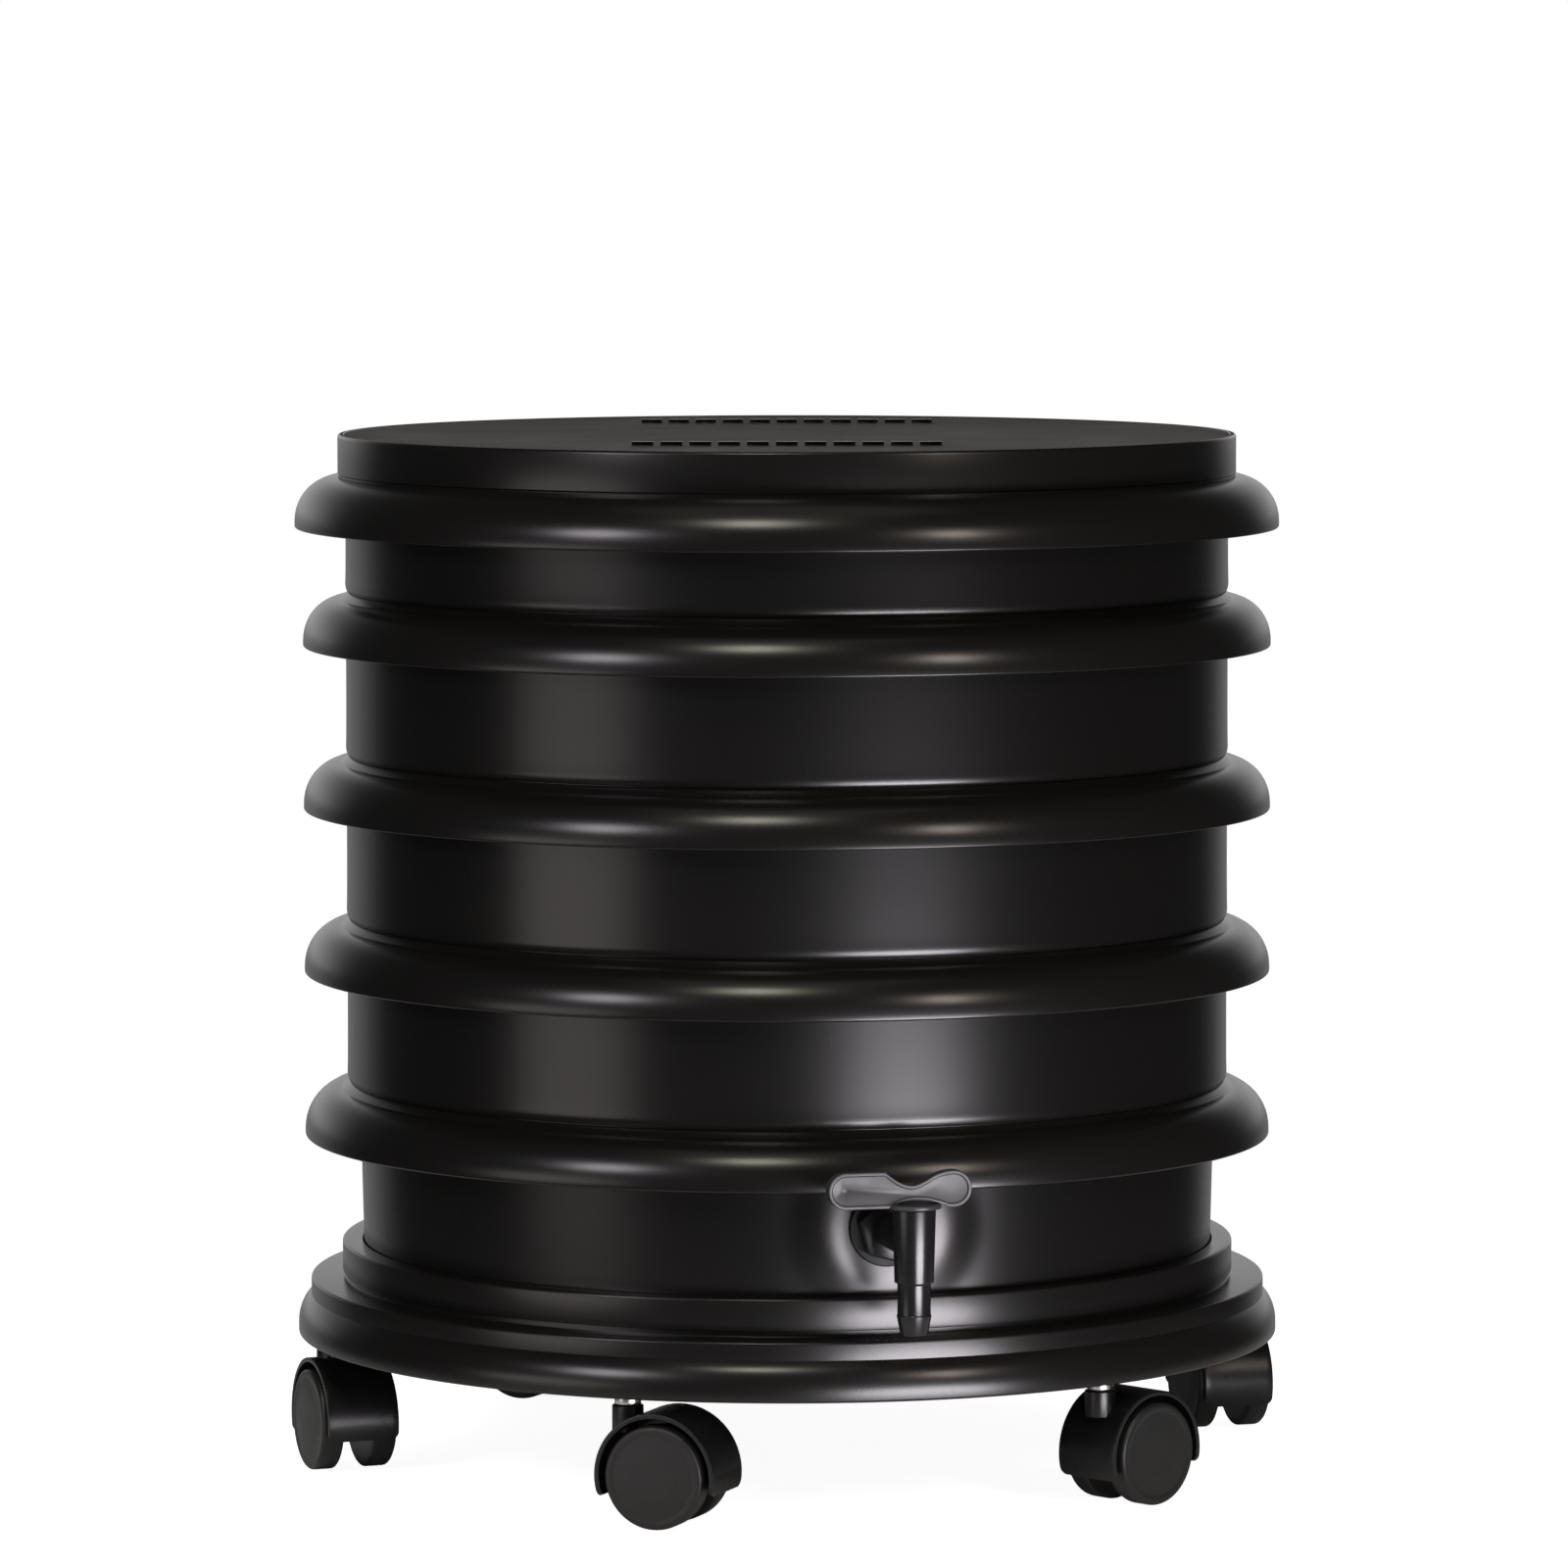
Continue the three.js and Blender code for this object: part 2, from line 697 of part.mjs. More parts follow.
function makeHood() {
  const [outerToe, outerHeel] = hoodEnds(hoodOuter);
  const [innerToe, innerHeel] = hoodEnds(hoodInner);
  const fender = new THREE.Shape();
  fender.absarc(0, 0, hoodOuter, outerToe, outerHeel, false);
  fender.absarc(0, 0, hoodInner, innerHeel, innerToe, true);
  const web = new THREE.Shape();
  const webRadius = hoodInner + hoodWall / 2;
  const [webToe, webHeel] = hoodEnds(webRadius);
  web.absarc(0, 0, webRadius, webToe, webHeel, false);
  let hood = casterSlab(fender, hoodHalf).add(casterSlab(web, webThickness / 2));
  hood = hood.add(rod(neckRadius, neckBottom, neckTop, pinSides));
  const bossHalf = wheelInner - seatGap;
  hood = hood.add(axleRod(axleBossRadius, -bossHalf, bossHalf));
  const stemBore = boreFor(stemRadius, seatGap, pinSides);
  hood = hood.subtract(rod(stemBore, stemBottom - seatGap, neckTop + overrun, pinSides));
  const cutHalf = bossHalf + overrun;
  return hood.subtract(axleRod(axleBore, -cutHalf, cutHalf));
}

function makeStem() {
  return turned([
    [0, stemBottom],
    [stemRadius, stemBottom],
    [stemRadius, collarBottom],
    [collarRadius, collarBottom],
    [collarRadius, collarTop],
    [stemRadius, collarTop],
    [stemRadius, stemTop],
    [0, stemTop],
  ], pinSides);
}

// Wheel on the local +Y side of the web, its flats as far out as the tread
function makeWheel() {
  const tread = wheelRadius / Math.cos(Math.PI / wheelSides);
  const disc = onAxle([
    [0, wheelInner],
    [tread, wheelInner],
    [tread, wheelOuter - wheelEdge],
    [tread - wheelEdge, wheelOuter],
    [0, wheelOuter],
  ], wheelSides, true);
  return disc.subtract(axleRod(axleBore, wheelInner - overrun, boreEnd));
}

// Casters, each with its two wheels mirrored about the web
const wheelMirror = new THREE.Matrix4().makeScale(1, -1, 1);
for (let i = 0; i < casterCount; i += 1) {
  const spot = casterSpot(i);
  const label = `caster_${i + 1}`;
  const facing = planMatrix(casterHeadings[i] - 90, spot.at);
  const otherWheel = placed(makeWheel(), wheelMirror);
  add(`${label}_stem`, placed(makeStem(), planMatrix(spot.turn, spot.at)), materials.steel);
  add(`${label}_hood`, placed(makeHood(), facing), materials.caster);
  add(`${label}_axle`, placed(axleRod(axleRadius, -axleHalf, axleHalf), facing), materials.steel);
  add(`${label}_wheel_a`, placed(makeWheel(), facing), materials.caster);
  add(`${label}_wheel_b`, placed(otherWheel, facing), materials.caster);
}

export default group;
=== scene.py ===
import json
from math import acos, asin, atan2, ceil, cos, pi, radians, sin, tan, tau

import bmesh
import bpy
from mathutils import Matrix, Vector


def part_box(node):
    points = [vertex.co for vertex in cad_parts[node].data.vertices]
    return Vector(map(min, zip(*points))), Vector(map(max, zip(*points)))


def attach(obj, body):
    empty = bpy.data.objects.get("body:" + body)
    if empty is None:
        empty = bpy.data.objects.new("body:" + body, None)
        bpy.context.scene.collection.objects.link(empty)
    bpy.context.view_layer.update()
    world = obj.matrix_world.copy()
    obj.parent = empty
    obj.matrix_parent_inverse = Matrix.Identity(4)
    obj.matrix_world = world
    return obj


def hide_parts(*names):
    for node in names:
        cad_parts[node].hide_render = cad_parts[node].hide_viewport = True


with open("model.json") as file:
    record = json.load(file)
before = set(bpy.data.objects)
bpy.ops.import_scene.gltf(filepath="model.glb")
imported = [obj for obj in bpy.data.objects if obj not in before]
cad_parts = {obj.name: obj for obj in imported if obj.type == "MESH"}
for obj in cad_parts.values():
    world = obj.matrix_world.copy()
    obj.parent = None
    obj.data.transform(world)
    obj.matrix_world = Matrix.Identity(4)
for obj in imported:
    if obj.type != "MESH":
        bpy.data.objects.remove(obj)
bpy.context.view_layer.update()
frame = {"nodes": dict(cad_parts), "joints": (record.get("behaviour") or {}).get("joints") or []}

mm = 0.001
scene = bpy.context.scene
jointNamed = {joint["name"]: joint for joint in frame["joints"]}


def linearColour(code):
    # sRGB hex to the linear values that the shaders take
    parts = [int(code[i:i + 2], 16) / 255 for i in (1, 3, 5)]
    return [c / 12.92 if c <= 0.04045 else ((c + 0.055) / 1.055) ** 2.4 for c in parts] + [1]


def setInputs(tree, node, inputs):
    # an input takes a value, the output that feeds it, or a node whose first output does
    for key, value in inputs.items():
        if isinstance(value, bpy.types.Node):
            value = value.outputs[0]
        if isinstance(value, bpy.types.NodeSocket):
            tree.links.new(value, node.inputs[key])
        else:
            node.inputs[key].default_value = value


def addNode(tree, kind, settings=None, inputs=None):
    # settings are the node's own choices
    node = tree.nodes.new(kind)
    for key, value in (settings or {}).items():
        setattr(node, key, value)
    setInputs(tree, node, inputs or {})
    return node


# kinds and choices of the nodes that recur
mathNode, wholeNode = "ShaderNodeMath", "FunctionNodeIntegerMath"
noiseNode, rangeNode = "ShaderNodeTexNoise", "ShaderNodeMapRange"
plus, minus, times, over = ({"operation": name} for name in ("ADD", "SUBTRACT", "MULTIPLY", "DIVIDE"))


# Camera, where the photograph was taken from
cameraView = {
    "distance": 4380 * mm,
    "height": 732.4 * mm,
    "pitch": -4.84,
    "roll": 0.03,
    "yaw": 0.018,
    "focalPixels": 8295.7,
    "framePixels": 1600,
    "sensor": 36,
    "nearest": 0.1,
    "farthest": 100,
}


def makeCamera(view):
    camera = bpy.data.cameras.new("camera")
    camera.sensor_width = view["sensor"]
    camera.lens = view["focalPixels"] * view["sensor"] / view["framePixels"]
    camera.clip_start = view["nearest"]
    camera.clip_end = view["farthest"]
    holder = bpy.data.objects.new("camera", camera)
    holder.location = (0, -view["distance"], view["height"])
    holder.rotation_euler = [radians(a) for a in (90 + view["pitch"], view["roll"], view["yaw"])]
    scene.collection.objects.link(holder)
    scene.camera = holder


makeCamera(cameraView)
print("camera set")


# Fillets that the pieces share, from a trimmed edge to a full round
fillet = {
    "trimmed": 0.2 * mm,
    "crisp": 0.3 * mm,
    "fine": 0.4 * mm,
    "light": 0.5 * mm,
    "eased": 0.6 * mm,
    "mild": 0.7 * mm,
    "soft": 0.8 * mm,
    "round": 1 * mm,
    "full": 2 * mm,
}
sharpAngle = radians(32)
weldDistance = 0.004 * mm


# Outlines and meshes
def roundedOutline(corners, turnStep=radians(18)):
    # corners are (across, up, fillet radius); each becomes an arc, and 0 stays sharp
    points = []
    for i, (across, up, radius) in enumerate(corners):
        here = Vector((across, up))
        if not radius:
            points.append(here)
            continue
        back = (Vector(corners[i - 1][:2]) - here).normalized()
        ahead = (Vector(corners[(i + 1) % len(corners)][:2]) - here).normalized()
        half = back.angle(ahead) / 2
        centre = here + (back + ahead).normalized() * radius / sin(half)
        start = here + back * radius / tan(half) - centre
        end = here + ahead * radius / tan(half) - centre
        sweep = (atan2(end.y, end.x) - atan2(start.y, start.x) + pi) % tau - pi
        steps = max(2, ceil(abs(sweep) / turnStep))
        for k in range(steps + 1):
            points.append(centre + Matrix.Rotation(sweep * k / steps, 2) @ start)
    return points


def shoulder(outer, inner, low, high, steps=12, reach=None):
    # elliptic shoulder from the outer band up and in, ends left out; without a reach it ends level
    reach = reach or outer - inner
    middle = outer - reach
    last = acos((inner - middle) / reach)
    rise = (high - low) / sin(last)
    turns = [last * k / steps for k in range(1, steps)]
    return [(middle + reach * cos(a), low + rise * sin(a), 0) for a in turns]


def newObject(name, mesh):
    made = bpy.data.objects.new(name, mesh)
    scene.collection.objects.link(made)
    return made


def outlineObject(name, points):
    # closed loop in the XZ plane, ready to be spun
    mesh = bpy.data.meshes.new(name)
    count = len(points)
    edges = [(i, (i + 1) % count) for i in range(count)]
    mesh.from_pydata([(p.x, 0, p.y) for p in points], edges, [])
    return newObject(name, mesh)


def treeWith(name, sizes):
    # a geometry tree with named inputs; gives the tree and those inputs
    tree = bpy.data.node_groups.new(name, "GeometryNodeTree")
    for label, kind in {"Geometry": "Geometry", **sizes, "Material": "Material"}.items():
        tree.interface.new_socket(label, in_out="INPUT", socket_type="NodeSocket" + kind)
    tree.interface.new_socket("Geometry", in_out="OUTPUT", socket_type="NodeSocketGeometry")
    return tree, addNode(tree, "NodeGroupInput").outputs


def endTree(tree, geometry, given):
    # every tree ends in plain geometry that carries the piece's material
    real = addNode(tree, "GeometryNodeRealizeInstances", None, {0: geometry})
    painted = addNode(tree, "GeometryNodeSetMaterial", None, {
        "Geometry": real, "Material": given["Material"]})
    addNode(tree, "NodeGroupOutput", None, {0: painted})
    return tree


def makeSpinTree():
    # turns an outline into a closed shell: a grid whose rows follow the outline
    tree, given = treeWith("spinOutline", {"Sides": "Int", "Weld": "Float"})
    outline = given["Geometry"]
    size = addNode(tree, "GeometryNodeAttributeDomainSize", {"component": "MESH"}, {0: outline})
    count = size.outputs["Point Count"]
    rows = addNode(tree, wholeNode, plus, {0: count, 1: 1})
    columns = addNode(tree, wholeNode, plus, {0: given["Sides"], 1: 1})
    grid = addNode(tree, "GeometryNodeMeshGrid", None, {"Vertices X": rows, "Vertices Y": columns})
    index = addNode(tree, "GeometryNodeInputIndex")
    line = addNode(tree, wholeNode, {"operation": "DIVIDE_FLOOR"}, {0: index, 1: columns})
    row = addNode(tree, wholeNode, {"operation": "MODULO"}, {0: line, 1: count})
    column = addNode(tree, wholeNode, {"operation": "MODULO"}, {0: index, 1: columns})
    place = addNode(tree, "GeometryNodeInputPosition")
    sampled = addNode(tree, "GeometryNodeSampleIndex", {"data_type": "FLOAT_VECTOR"}, {
        "Geometry": outline, "Value": place, "Index": row})
    turns = addNode(tree, mathNode, times, {0: column, 1: tau})
    turn = addNode(tree, mathNode, over, {0: turns, 1: given["Sides"]})
    spun = addNode(tree, "ShaderNodeVectorRotate", {"rotation_type": "Z_AXIS"}, {
        "Vector": sampled, "Angle": turn})
    shell = addNode(tree, "GeometryNodeSetPosition", None, {"Geometry": grid, "Position": spun})
    welded = addNode(tree, "GeometryNodeMergeByDistance", None, {
        "Geometry": shell, "Distance": given["Weld"]})
    return endTree(tree, welded, given)


def makePerforateTree():
    # bores rings of holes through a floor: ring k has six times k holes
    tree, given = treeWith("perforateFloor", {
        "Rings": "Int", "Pitch": "Float", "Hole Radius": "Float", "Middle": "Float", "Depth": "Float"})
    nextRing = addNode(tree, wholeNode, plus, {0: given["Rings"], 1: 1})
    tripled = addNode(tree, wholeNode, times, {0: given["Rings"], 1: 3})
    total = addNode(tree, wholeNode, times, {0: tripled, 1: nextRing})
    # 3k(k - 1) holes lie inside ring k, so k is the whole part of (3 + root of (12 index + 9)) / 6
    index = addNode(tree, "GeometryNodeInputIndex")
    square = addNode(tree, mathNode, {"operation": "MULTIPLY_ADD"}, {0: index, 1: 12, 2: 9})
    root = addNode(tree, mathNode, {"operation": "SQRT"}, {0: square})
    sixfold = addNode(tree, mathNode, plus, {0: root, 1: 3})
    exact = addNode(tree, mathNode, over, {0: sixfold, 1: 6})
    ring = addNode(tree, mathNode, {"operation": "FLOOR"}, {0: exact})
    lastRing = addNode(tree, mathNode, minus, {0: ring, 1: 1})
    half = addNode(tree, mathNode, times, {0: ring, 1: 3})
    before = addNode(tree, mathNode, times, {0: half, 1: lastRing})
    number = addNode(tree, mathNode, minus, {0: index, 1: before})
    holes = addNode(tree, mathNode, times, {0: ring, 1: 6})
    share = addNode(tree, mathNode, over, {0: number, 1: holes})
    turn = addNode(tree, mathNode, times, {0: share, 1: tau})
    radius = addNode(tree, mathNode, times, {0: ring, 1: given["Pitch"]})
    spoke = addNode(tree, "ShaderNodeCombineXYZ", None, {"X": radius, "Z": given["Middle"]})
    spot = addNode(tree, "ShaderNodeVectorRotate", {"rotation_type": "Z_AXIS"}, {
        "Vector": spoke, "Angle": turn})
    spots = addNode(tree, "GeometryNodePoints", None, {"Count": total, "Position": spot})
    drill = addNode(tree, "GeometryNodeMeshCylinder", None, {
        "Vertices": 12, "Radius": given["Hole Radius"], "Depth": given["Depth"]})
    drills = addNode(tree, "GeometryNodeInstanceOnPoints", None, {"Points": spots, "Instance": drill})
    cutters = addNode(tree, "GeometryNodeRealizeInstances", None, {0: drills})
    bored = addNode(tree, "GeometryNodeMeshBoolean", {"operation": "DIFFERENCE", "solver": "MANIFOLD"}, {
        "Mesh 1": given["Geometry"], "Mesh 2": cutters})
    return endTree(tree, bored, given)


def makeRoundTree():
    # repeats a shape round the upright axis
    tree, given = treeWith("repeatRound", {"Count": "Int", "First Turn": "Float"})
    index = addNode(tree, "GeometryNodeInputIndex")
    turns = addNode(tree, mathNode, times, {0: index, 1: tau})
    step = addNode(tree, mathNode, over, {0: turns, 1: given["Count"]})
    heading = addNode(tree, mathNode, plus, {0: step, 1: given["First Turn"]})
    turn = addNode(tree, "ShaderNodeCombineXYZ", None, {"Z": heading})
    facing = addNode(tree, "FunctionNodeEulerToRotation", None, {0: turn})
    spots = addNode(tree, "GeometryNodePoints", None, {"Count": given["Count"]})
    copies = addNode(tree, "GeometryNodeInstanceOnPoints", None, {
        "Points": spots, "Instance": given["Geometry"], "Rotation": facing})
    return endTree(tree, copies, given)


def makeRowTree():
    # repeats a shape along X in two rows, one in front of the axis and one behind it
    tree, given = treeWith("twoRows", {
        "Count": "Int", "Pitch": "Float", "Front": "Float", "Back": "Float", "Height": "Float"})
    gaps = addNode(tree, mathNode, minus, {0: given["Count"], 1: 1})
    length = addNode(tree, mathNode, times, {0: gaps, 1: given["Pitch"]})
    first = addNode(tree, mathNode, times, {0: length, 1: -0.5})
    offset = addNode(tree, "ShaderNodeCombineXYZ", None, {"X": given["Pitch"]})
    both = addNode(tree, "GeometryNodeJoinGeometry")
    for side in ("Front", "Back"):
        start = addNode(tree, "ShaderNodeCombineXYZ", None, {
            "X": first, "Y": given[side], "Z": given["Height"]})
        row = addNode(tree, "GeometryNodeMeshLine", None, {
            "Count": given["Count"], "Start Location": start, "Offset": offset})
        setInputs(tree, both, {0: row})
    copies = addNode(tree, "GeometryNodeInstanceOnPoints", None, {
        "Points": both, "Instance": given["Geometry"]})
    return endTree(tree, copies, given)


trees = {
    "spin": makeSpinTree(),
    "perforate": makePerforateTree(),
    "round": makeRoundTree(),
    "rows": makeRowTree(),
}


def useTree(piece, tree, values):
    # a modifier's inputs are set by the socket's identifier
    modifier = piece.modifiers.new(tree.name, "NODES")
    modifier.node_group = tree
    for item in tree.interface.items_tree:
        if item.in_out == "INPUT" and item.name in values:
            modifier[item.identifier] = values[item.name]


def settle(piece):
    # the evaluated result becomes a plain mesh, and the modifiers go
    bpy.context.view_layer.update()
    graph = bpy.context.evaluated_depsgraph_get()
    mesh = bpy.data.meshes.new_from_object(piece.evaluated_get(graph))
    piece.modifiers.clear()
    piece.data = mesh
    material = [m for m in mesh.materials if m][-1]
    mesh.materials.clear()
    mesh.materials.append(material)
    mesh.polygons.foreach_set("material_index", [0] * len(mesh.polygons))
    return piece


def spin(name, corners, material, sides=192, extra=()):
    # a closed shell from (radius, height, fillet) corners; extra holds further trees to apply
    piece = outlineObject(name, roundedOutline(corners))
    useTree(piece, trees["spin"], {"Sides": sides, "Weld": weldDistance, "Material": material})
    for tree, values in extra:
        useTree(piece, trees[tree], {**values, "Material": material})
    return faceOut(settle(piece))


def faceOut(piece):
    # outward normals, smooth shading, and edges that stay sharp past an angle
    shape = bmesh.new()
    shape.from_mesh(piece.data)
    bmesh.ops.recalc_face_normals(shape, faces=shape.faces)
    shape.to_mesh(piece.data)
    shape.free()
    piece.data.polygons.foreach_set("use_smooth", [True] * len(piece.data.polygons))
    piece.data.set_sharp_from_angle(angle=sharpAngle)
    return piece


def joined(piece, *others):
    # several closed shells as one piece
    shape = bmesh.new()
    for part in (piece, *others):
        shape.from_mesh(part.data)
    shape.to_mesh(piece.data)
    shape.free()
    for part in others:
        bpy.data.objects.remove(part)
    piece.data.set_sharp_from_angle(angle=sharpAngle)
    return piece


def bridge(shape, loops, closed=True):
    # strips of faces between neighbouring rows of points
    count = len(loops[0])
    for first, second in zip(loops, loops[1:]):
        for i in range(count if closed else count - 1):
            j = (i + 1) % count
            shape.faces.new((first[i], first[j], second[j], second[i]))


def fromShape(name, shape, material):
    mesh = bpy.data.meshes.new(name)
    shape.to_mesh(mesh)
    shape.free()
    mesh.materials.append(material)
    return newObject(name, mesh)


def extruded(name, outline, low, high, material, bevel, segments=2):
    # an XY outline raised from low to high, its edges rounded
    shape = bmesh.new()
    lower, upper = ([shape.verts.new((p[0], p[1], height)) for p in outline] for height in (low, high))
    shape.faces.new(lower)
    shape.faces.new(upper)
    bridge(shape, (lower, upper))
    piece = faceOut(fromShape(name, shape, material))
    addBevel(piece, bevel, segments)
    return faceOut(settle(piece))


def addBevel(piece, width, segments=3, limit=40):
    bevel = piece.modifiers.new("edge", "BEVEL")
    bevel.width = width
    bevel.segments = segments
    bevel.limit_method = "ANGLE"
    bevel.angle_limit = radians(limit)
    bevel.harden_normals = False


def moved(piece, matrix):
    # the place goes into the mesh, and the object stays at the origin
    piece.data.transform(matrix)
    return piece


def finished(piece, body, slot, *nodes):
    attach(piece, body)
    if nodes:
        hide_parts(*nodes)
    return piece


# Materials
shellLook = {
    "colour": "#0f0e0d",
    "dust": "#6b6763",
    "roughness": 0.27,
    "roughnessSpread": 0.008,
    "streakWidth": 2.6 * mm,
    "streakLength": 90 * mm,
    "waveSize": 90 * mm,
    "waveDepth": 0.12 * mm,
    "grainSize": 0.9 * mm,
    "grainDepth": 0.006 * mm,
    "speckSize": 6 * mm,
    "speckFrom": 0.7,
    "speckFull": 0.82,
    "speckStrength": 0.35,
    "ior": 1.49,
}


def newMaterial(name):
    # gives the material, its tree and its shader
    material = bpy.data.materials.new(name)
    material.use_nodes = True
    return material, material.node_tree, material.node_tree.nodes["Principled BSDF"]


def roughnessSpan(look):
    half = look["roughnessSpread"] / 2
    return {"To Min": look["roughness"] - half, "To Max": look["roughness"] + half}


def mouldedPolypropylene(name, look):
    # injection-moulded polypropylene: a dense black with a waxy semi-gloss, faint upright flow
    # streaks, slight sinks that bend the highlights, and a few specks of dust
    material, tree, shader = newMaterial(name)
    place = addNode(tree, "ShaderNodeTexCoord").outputs["Object"]
    across, along = 1 / look["streakWidth"], 1 / look["streakLength"]
    flow = addNode(tree, "ShaderNodeMapping", None, {"Vector": place, "Scale": (across, across, along)})
    streaks = addNode(tree, noiseNode, None, {"Vector": flow, "Scale": 1, "Detail": 3, "Roughness": 0.6})
    clouds = addNode(tree, noiseNode, None, {
        "Vector": place, "Scale": 1 / look["waveSize"], "Detail": 2, "Roughness": 0.45})
    unevenness = addNode(tree, mathNode, times, {0: streaks, 1: clouds})
    spread = addNode(tree, rangeNode, None, {
        "Value": unevenness, "From Min": 0.1, "From Max": 0.45, **roughnessSpan(look)})
    sinks = addNode(tree, "ShaderNodeBump", None, {
        "Height": clouds, "Strength": 1, "Distance": look["waveDepth"]})
    grain = addNode(tree, noiseNode, None, {"Vector": place, "Scale": 1 / look["grainSize"], "Detail": 2})
    fine = addNode(tree, "ShaderNodeBump", None, {
        "Height": grain, "Strength": 1, "Distance": look["grainDepth"], "Normal": sinks})
    specks = addNode(tree, noiseNode, None, {
        "Vector": place, "Scale": 1 / look["speckSize"], "Detail": 6, "Roughness": 0.75})
    dust = addNode(tree, rangeNode, None, {
        "Value": specks, "From Min": look["speckFrom"], "From Max": look["speckFull"],
        "To Max": look["speckStrength"]})
    colour = addNode(tree, "ShaderNodeMix", {"data_type": "RGBA"}, {
        0: dust, 6: linearColour(look["colour"]), 7: linearColour(look["dust"])})
    setInputs(tree, shader, {
        "Base Color": colour.outputs[2], "Roughness": spread, "Normal": fine, "IOR": look["ior"]})
    return material


grainedLook = {
    "colour": "#2a2523",
    "paleColour": "#342e2a",
    "roughness": 0.62,
    "roughnessSpread": 0.1,
    "grainSize": 0.8 * mm,
    "grainDepth": 0.1 * mm,
    "waveSize": 60 * mm,
    "ior": 1.49,
}


def texturedPlastic(name, look):
    # moulded against a spark-eroded tool: a fine even grain that breaks highlights into a soft sheen
    material, tree, shader = newMaterial(name)
    place = addNode(tree, "ShaderNodeTexCoord").outputs["Object"]
    clouds = addNode(tree, noiseNode, None, {"Vector": place, "Scale": 1 / look["waveSize"], "Detail": 3})
    colour = addNode(tree, "ShaderNodeMix", {"data_type": "RGBA"}, {
        0: clouds, 6: linearColour(look["colour"]), 7: linearColour(look["paleColour"])})
    spread = addNode(tree, rangeNode, None, {
        "Value": clouds, "From Min": 0.3, "From Max": 0.7, **roughnessSpan(look)})
    grain = addNode(tree, noiseNode, None, {
        "Vector": place, "Scale": 1 / look["grainSize"], "Detail": 3, "Roughness": 0.6})
    bump = addNode(tree, "ShaderNodeBump", None, {
        "Height": grain, "Strength": 1, "Distance": look["grainDepth"]})
    setInputs(tree, shader, {
        "Base Color": colour.outputs[2], "Roughness": spread, "Normal": bump, "IOR": look["ior"]})
    return material


tapLook = {**shellLook, "colour": "#141415", "dust": "#3a3a3a", "roughness": 0.25, "waveSize": 20 * mm,
           "waveDepth": 0.03 * mm, "streakLength": 25 * mm}
handleLook = {**grainedLook, "colour": "#2b2b2c", "paleColour": "#323233", "roughness": 0.42,
              "grainDepth": 0.02 * mm, "grainSize": 0.5 * mm, "waveSize": 12 * mm}
wheelLook = {**grainedLook, "colour": "#131313", "paleColour": "#1a1a19", "roughness": 0.42,
             "grainDepth": 0.06 * mm, "grainSize": 0.7 * mm, "waveSize": 18 * mm}
hoodLook = {**grainedLook, "colour": "#090909", "paleColour": "#0e0e0e", "roughness": 0.31,
            "grainDepth": 0.012 * mm, "grainSize": 0.55 * mm, "waveSize": 18 * mm}
rubberLook = {**grainedLook, "colour": "#080808", "paleColour": "#0d0d0d", "roughness": 0.55,
              "grainDepth": 0.02 * mm, "grainSize": 0.6 * mm, "waveSize": 10 * mm}
steelLook = {"colour": "#cfd0d2", "roughness": 0.28, "roughnessSpread": 0.16, "brushWidth": 0.25 * mm,
             "brushLength": 12 * mm}


def zincPlatedSteel(name, look):
    # turned steel under a bright zinc plating: a clean metal with faint turning lines round the axis
    material, tree, shader = newMaterial(name)
    place = addNode(tree, "ShaderNodeTexCoord").outputs["Object"]
    across, along = 1 / look["brushLength"], 1 / look["brushWidth"]
    lines = addNode(tree, "ShaderNodeMapping", None, {"Vector": place, "Scale": (across, across, along)})
    noise = addNode(tree, noiseNode, None, {"Vector": lines, "Scale": 1, "Detail": 2})
    spread = addNode(tree, rangeNode, None, {"Value": noise, **roughnessSpan(look)})
    setInputs(tree, shader, {
        "Base Color": linearColour(look["colour"]), "Metallic": 1, "Roughness": spread})
    return material


blackPolypropylene = mouldedPolypropylene("mouldedPolypropylene", shellLook)
grainedPolypropylene = texturedPlastic("grainedPolypropylene", grainedLook)
blackNylon = mouldedPolypropylene("mouldedNylon", tapLook)
greyNylon = texturedPlastic("satinNylon", handleLook)
wheelNylon = texturedPlastic("texturedNylon", wheelLook)
hoodNylon = texturedPlastic("polishedNylon", hoodLook)
nitrileRubber = texturedPlastic("nitrileRubber", rubberLook)
platedSteel = zincPlatedSteel("zincPlatedSteel", steelLook)
print("materials made")


# Trays
tray = {
    "wall": 238 * mm,
    "thickness": 3.7 * mm,
    "spigotGap": 0.6 * mm,
    "seatGap": 0.3 * mm,
    "spigotDepth": 12 * mm,
    "spigotEdge": 1.5 * mm,
    "floor": 3 * mm,
    "floorFillet": 2.5 * mm,
    "shelf": 3 * mm,
    "rimWall": 3 * mm,
    "rimEdge": 1.1 * mm,
    "recess": 1.3 * mm,
    "recessHeight": 0.5 * mm,
    "footRounding": 5 * mm,
    "sink": 0.2 * mm,
    "footFlare": 0.1 * mm,
    "footFlareHeight": 5 * mm,
    "holeRings": 12,
    "holePitch": 17.2 * mm,
    "holeRadius": 2.6 * mm,
}


trayRim = {"height": 29.3 * mm, "curve": 22.6 * mm, "drop": 3.5 * mm}
topRim = {"height": 21.7 * mm, "curve": 18.3 * mm, "drop": 0}


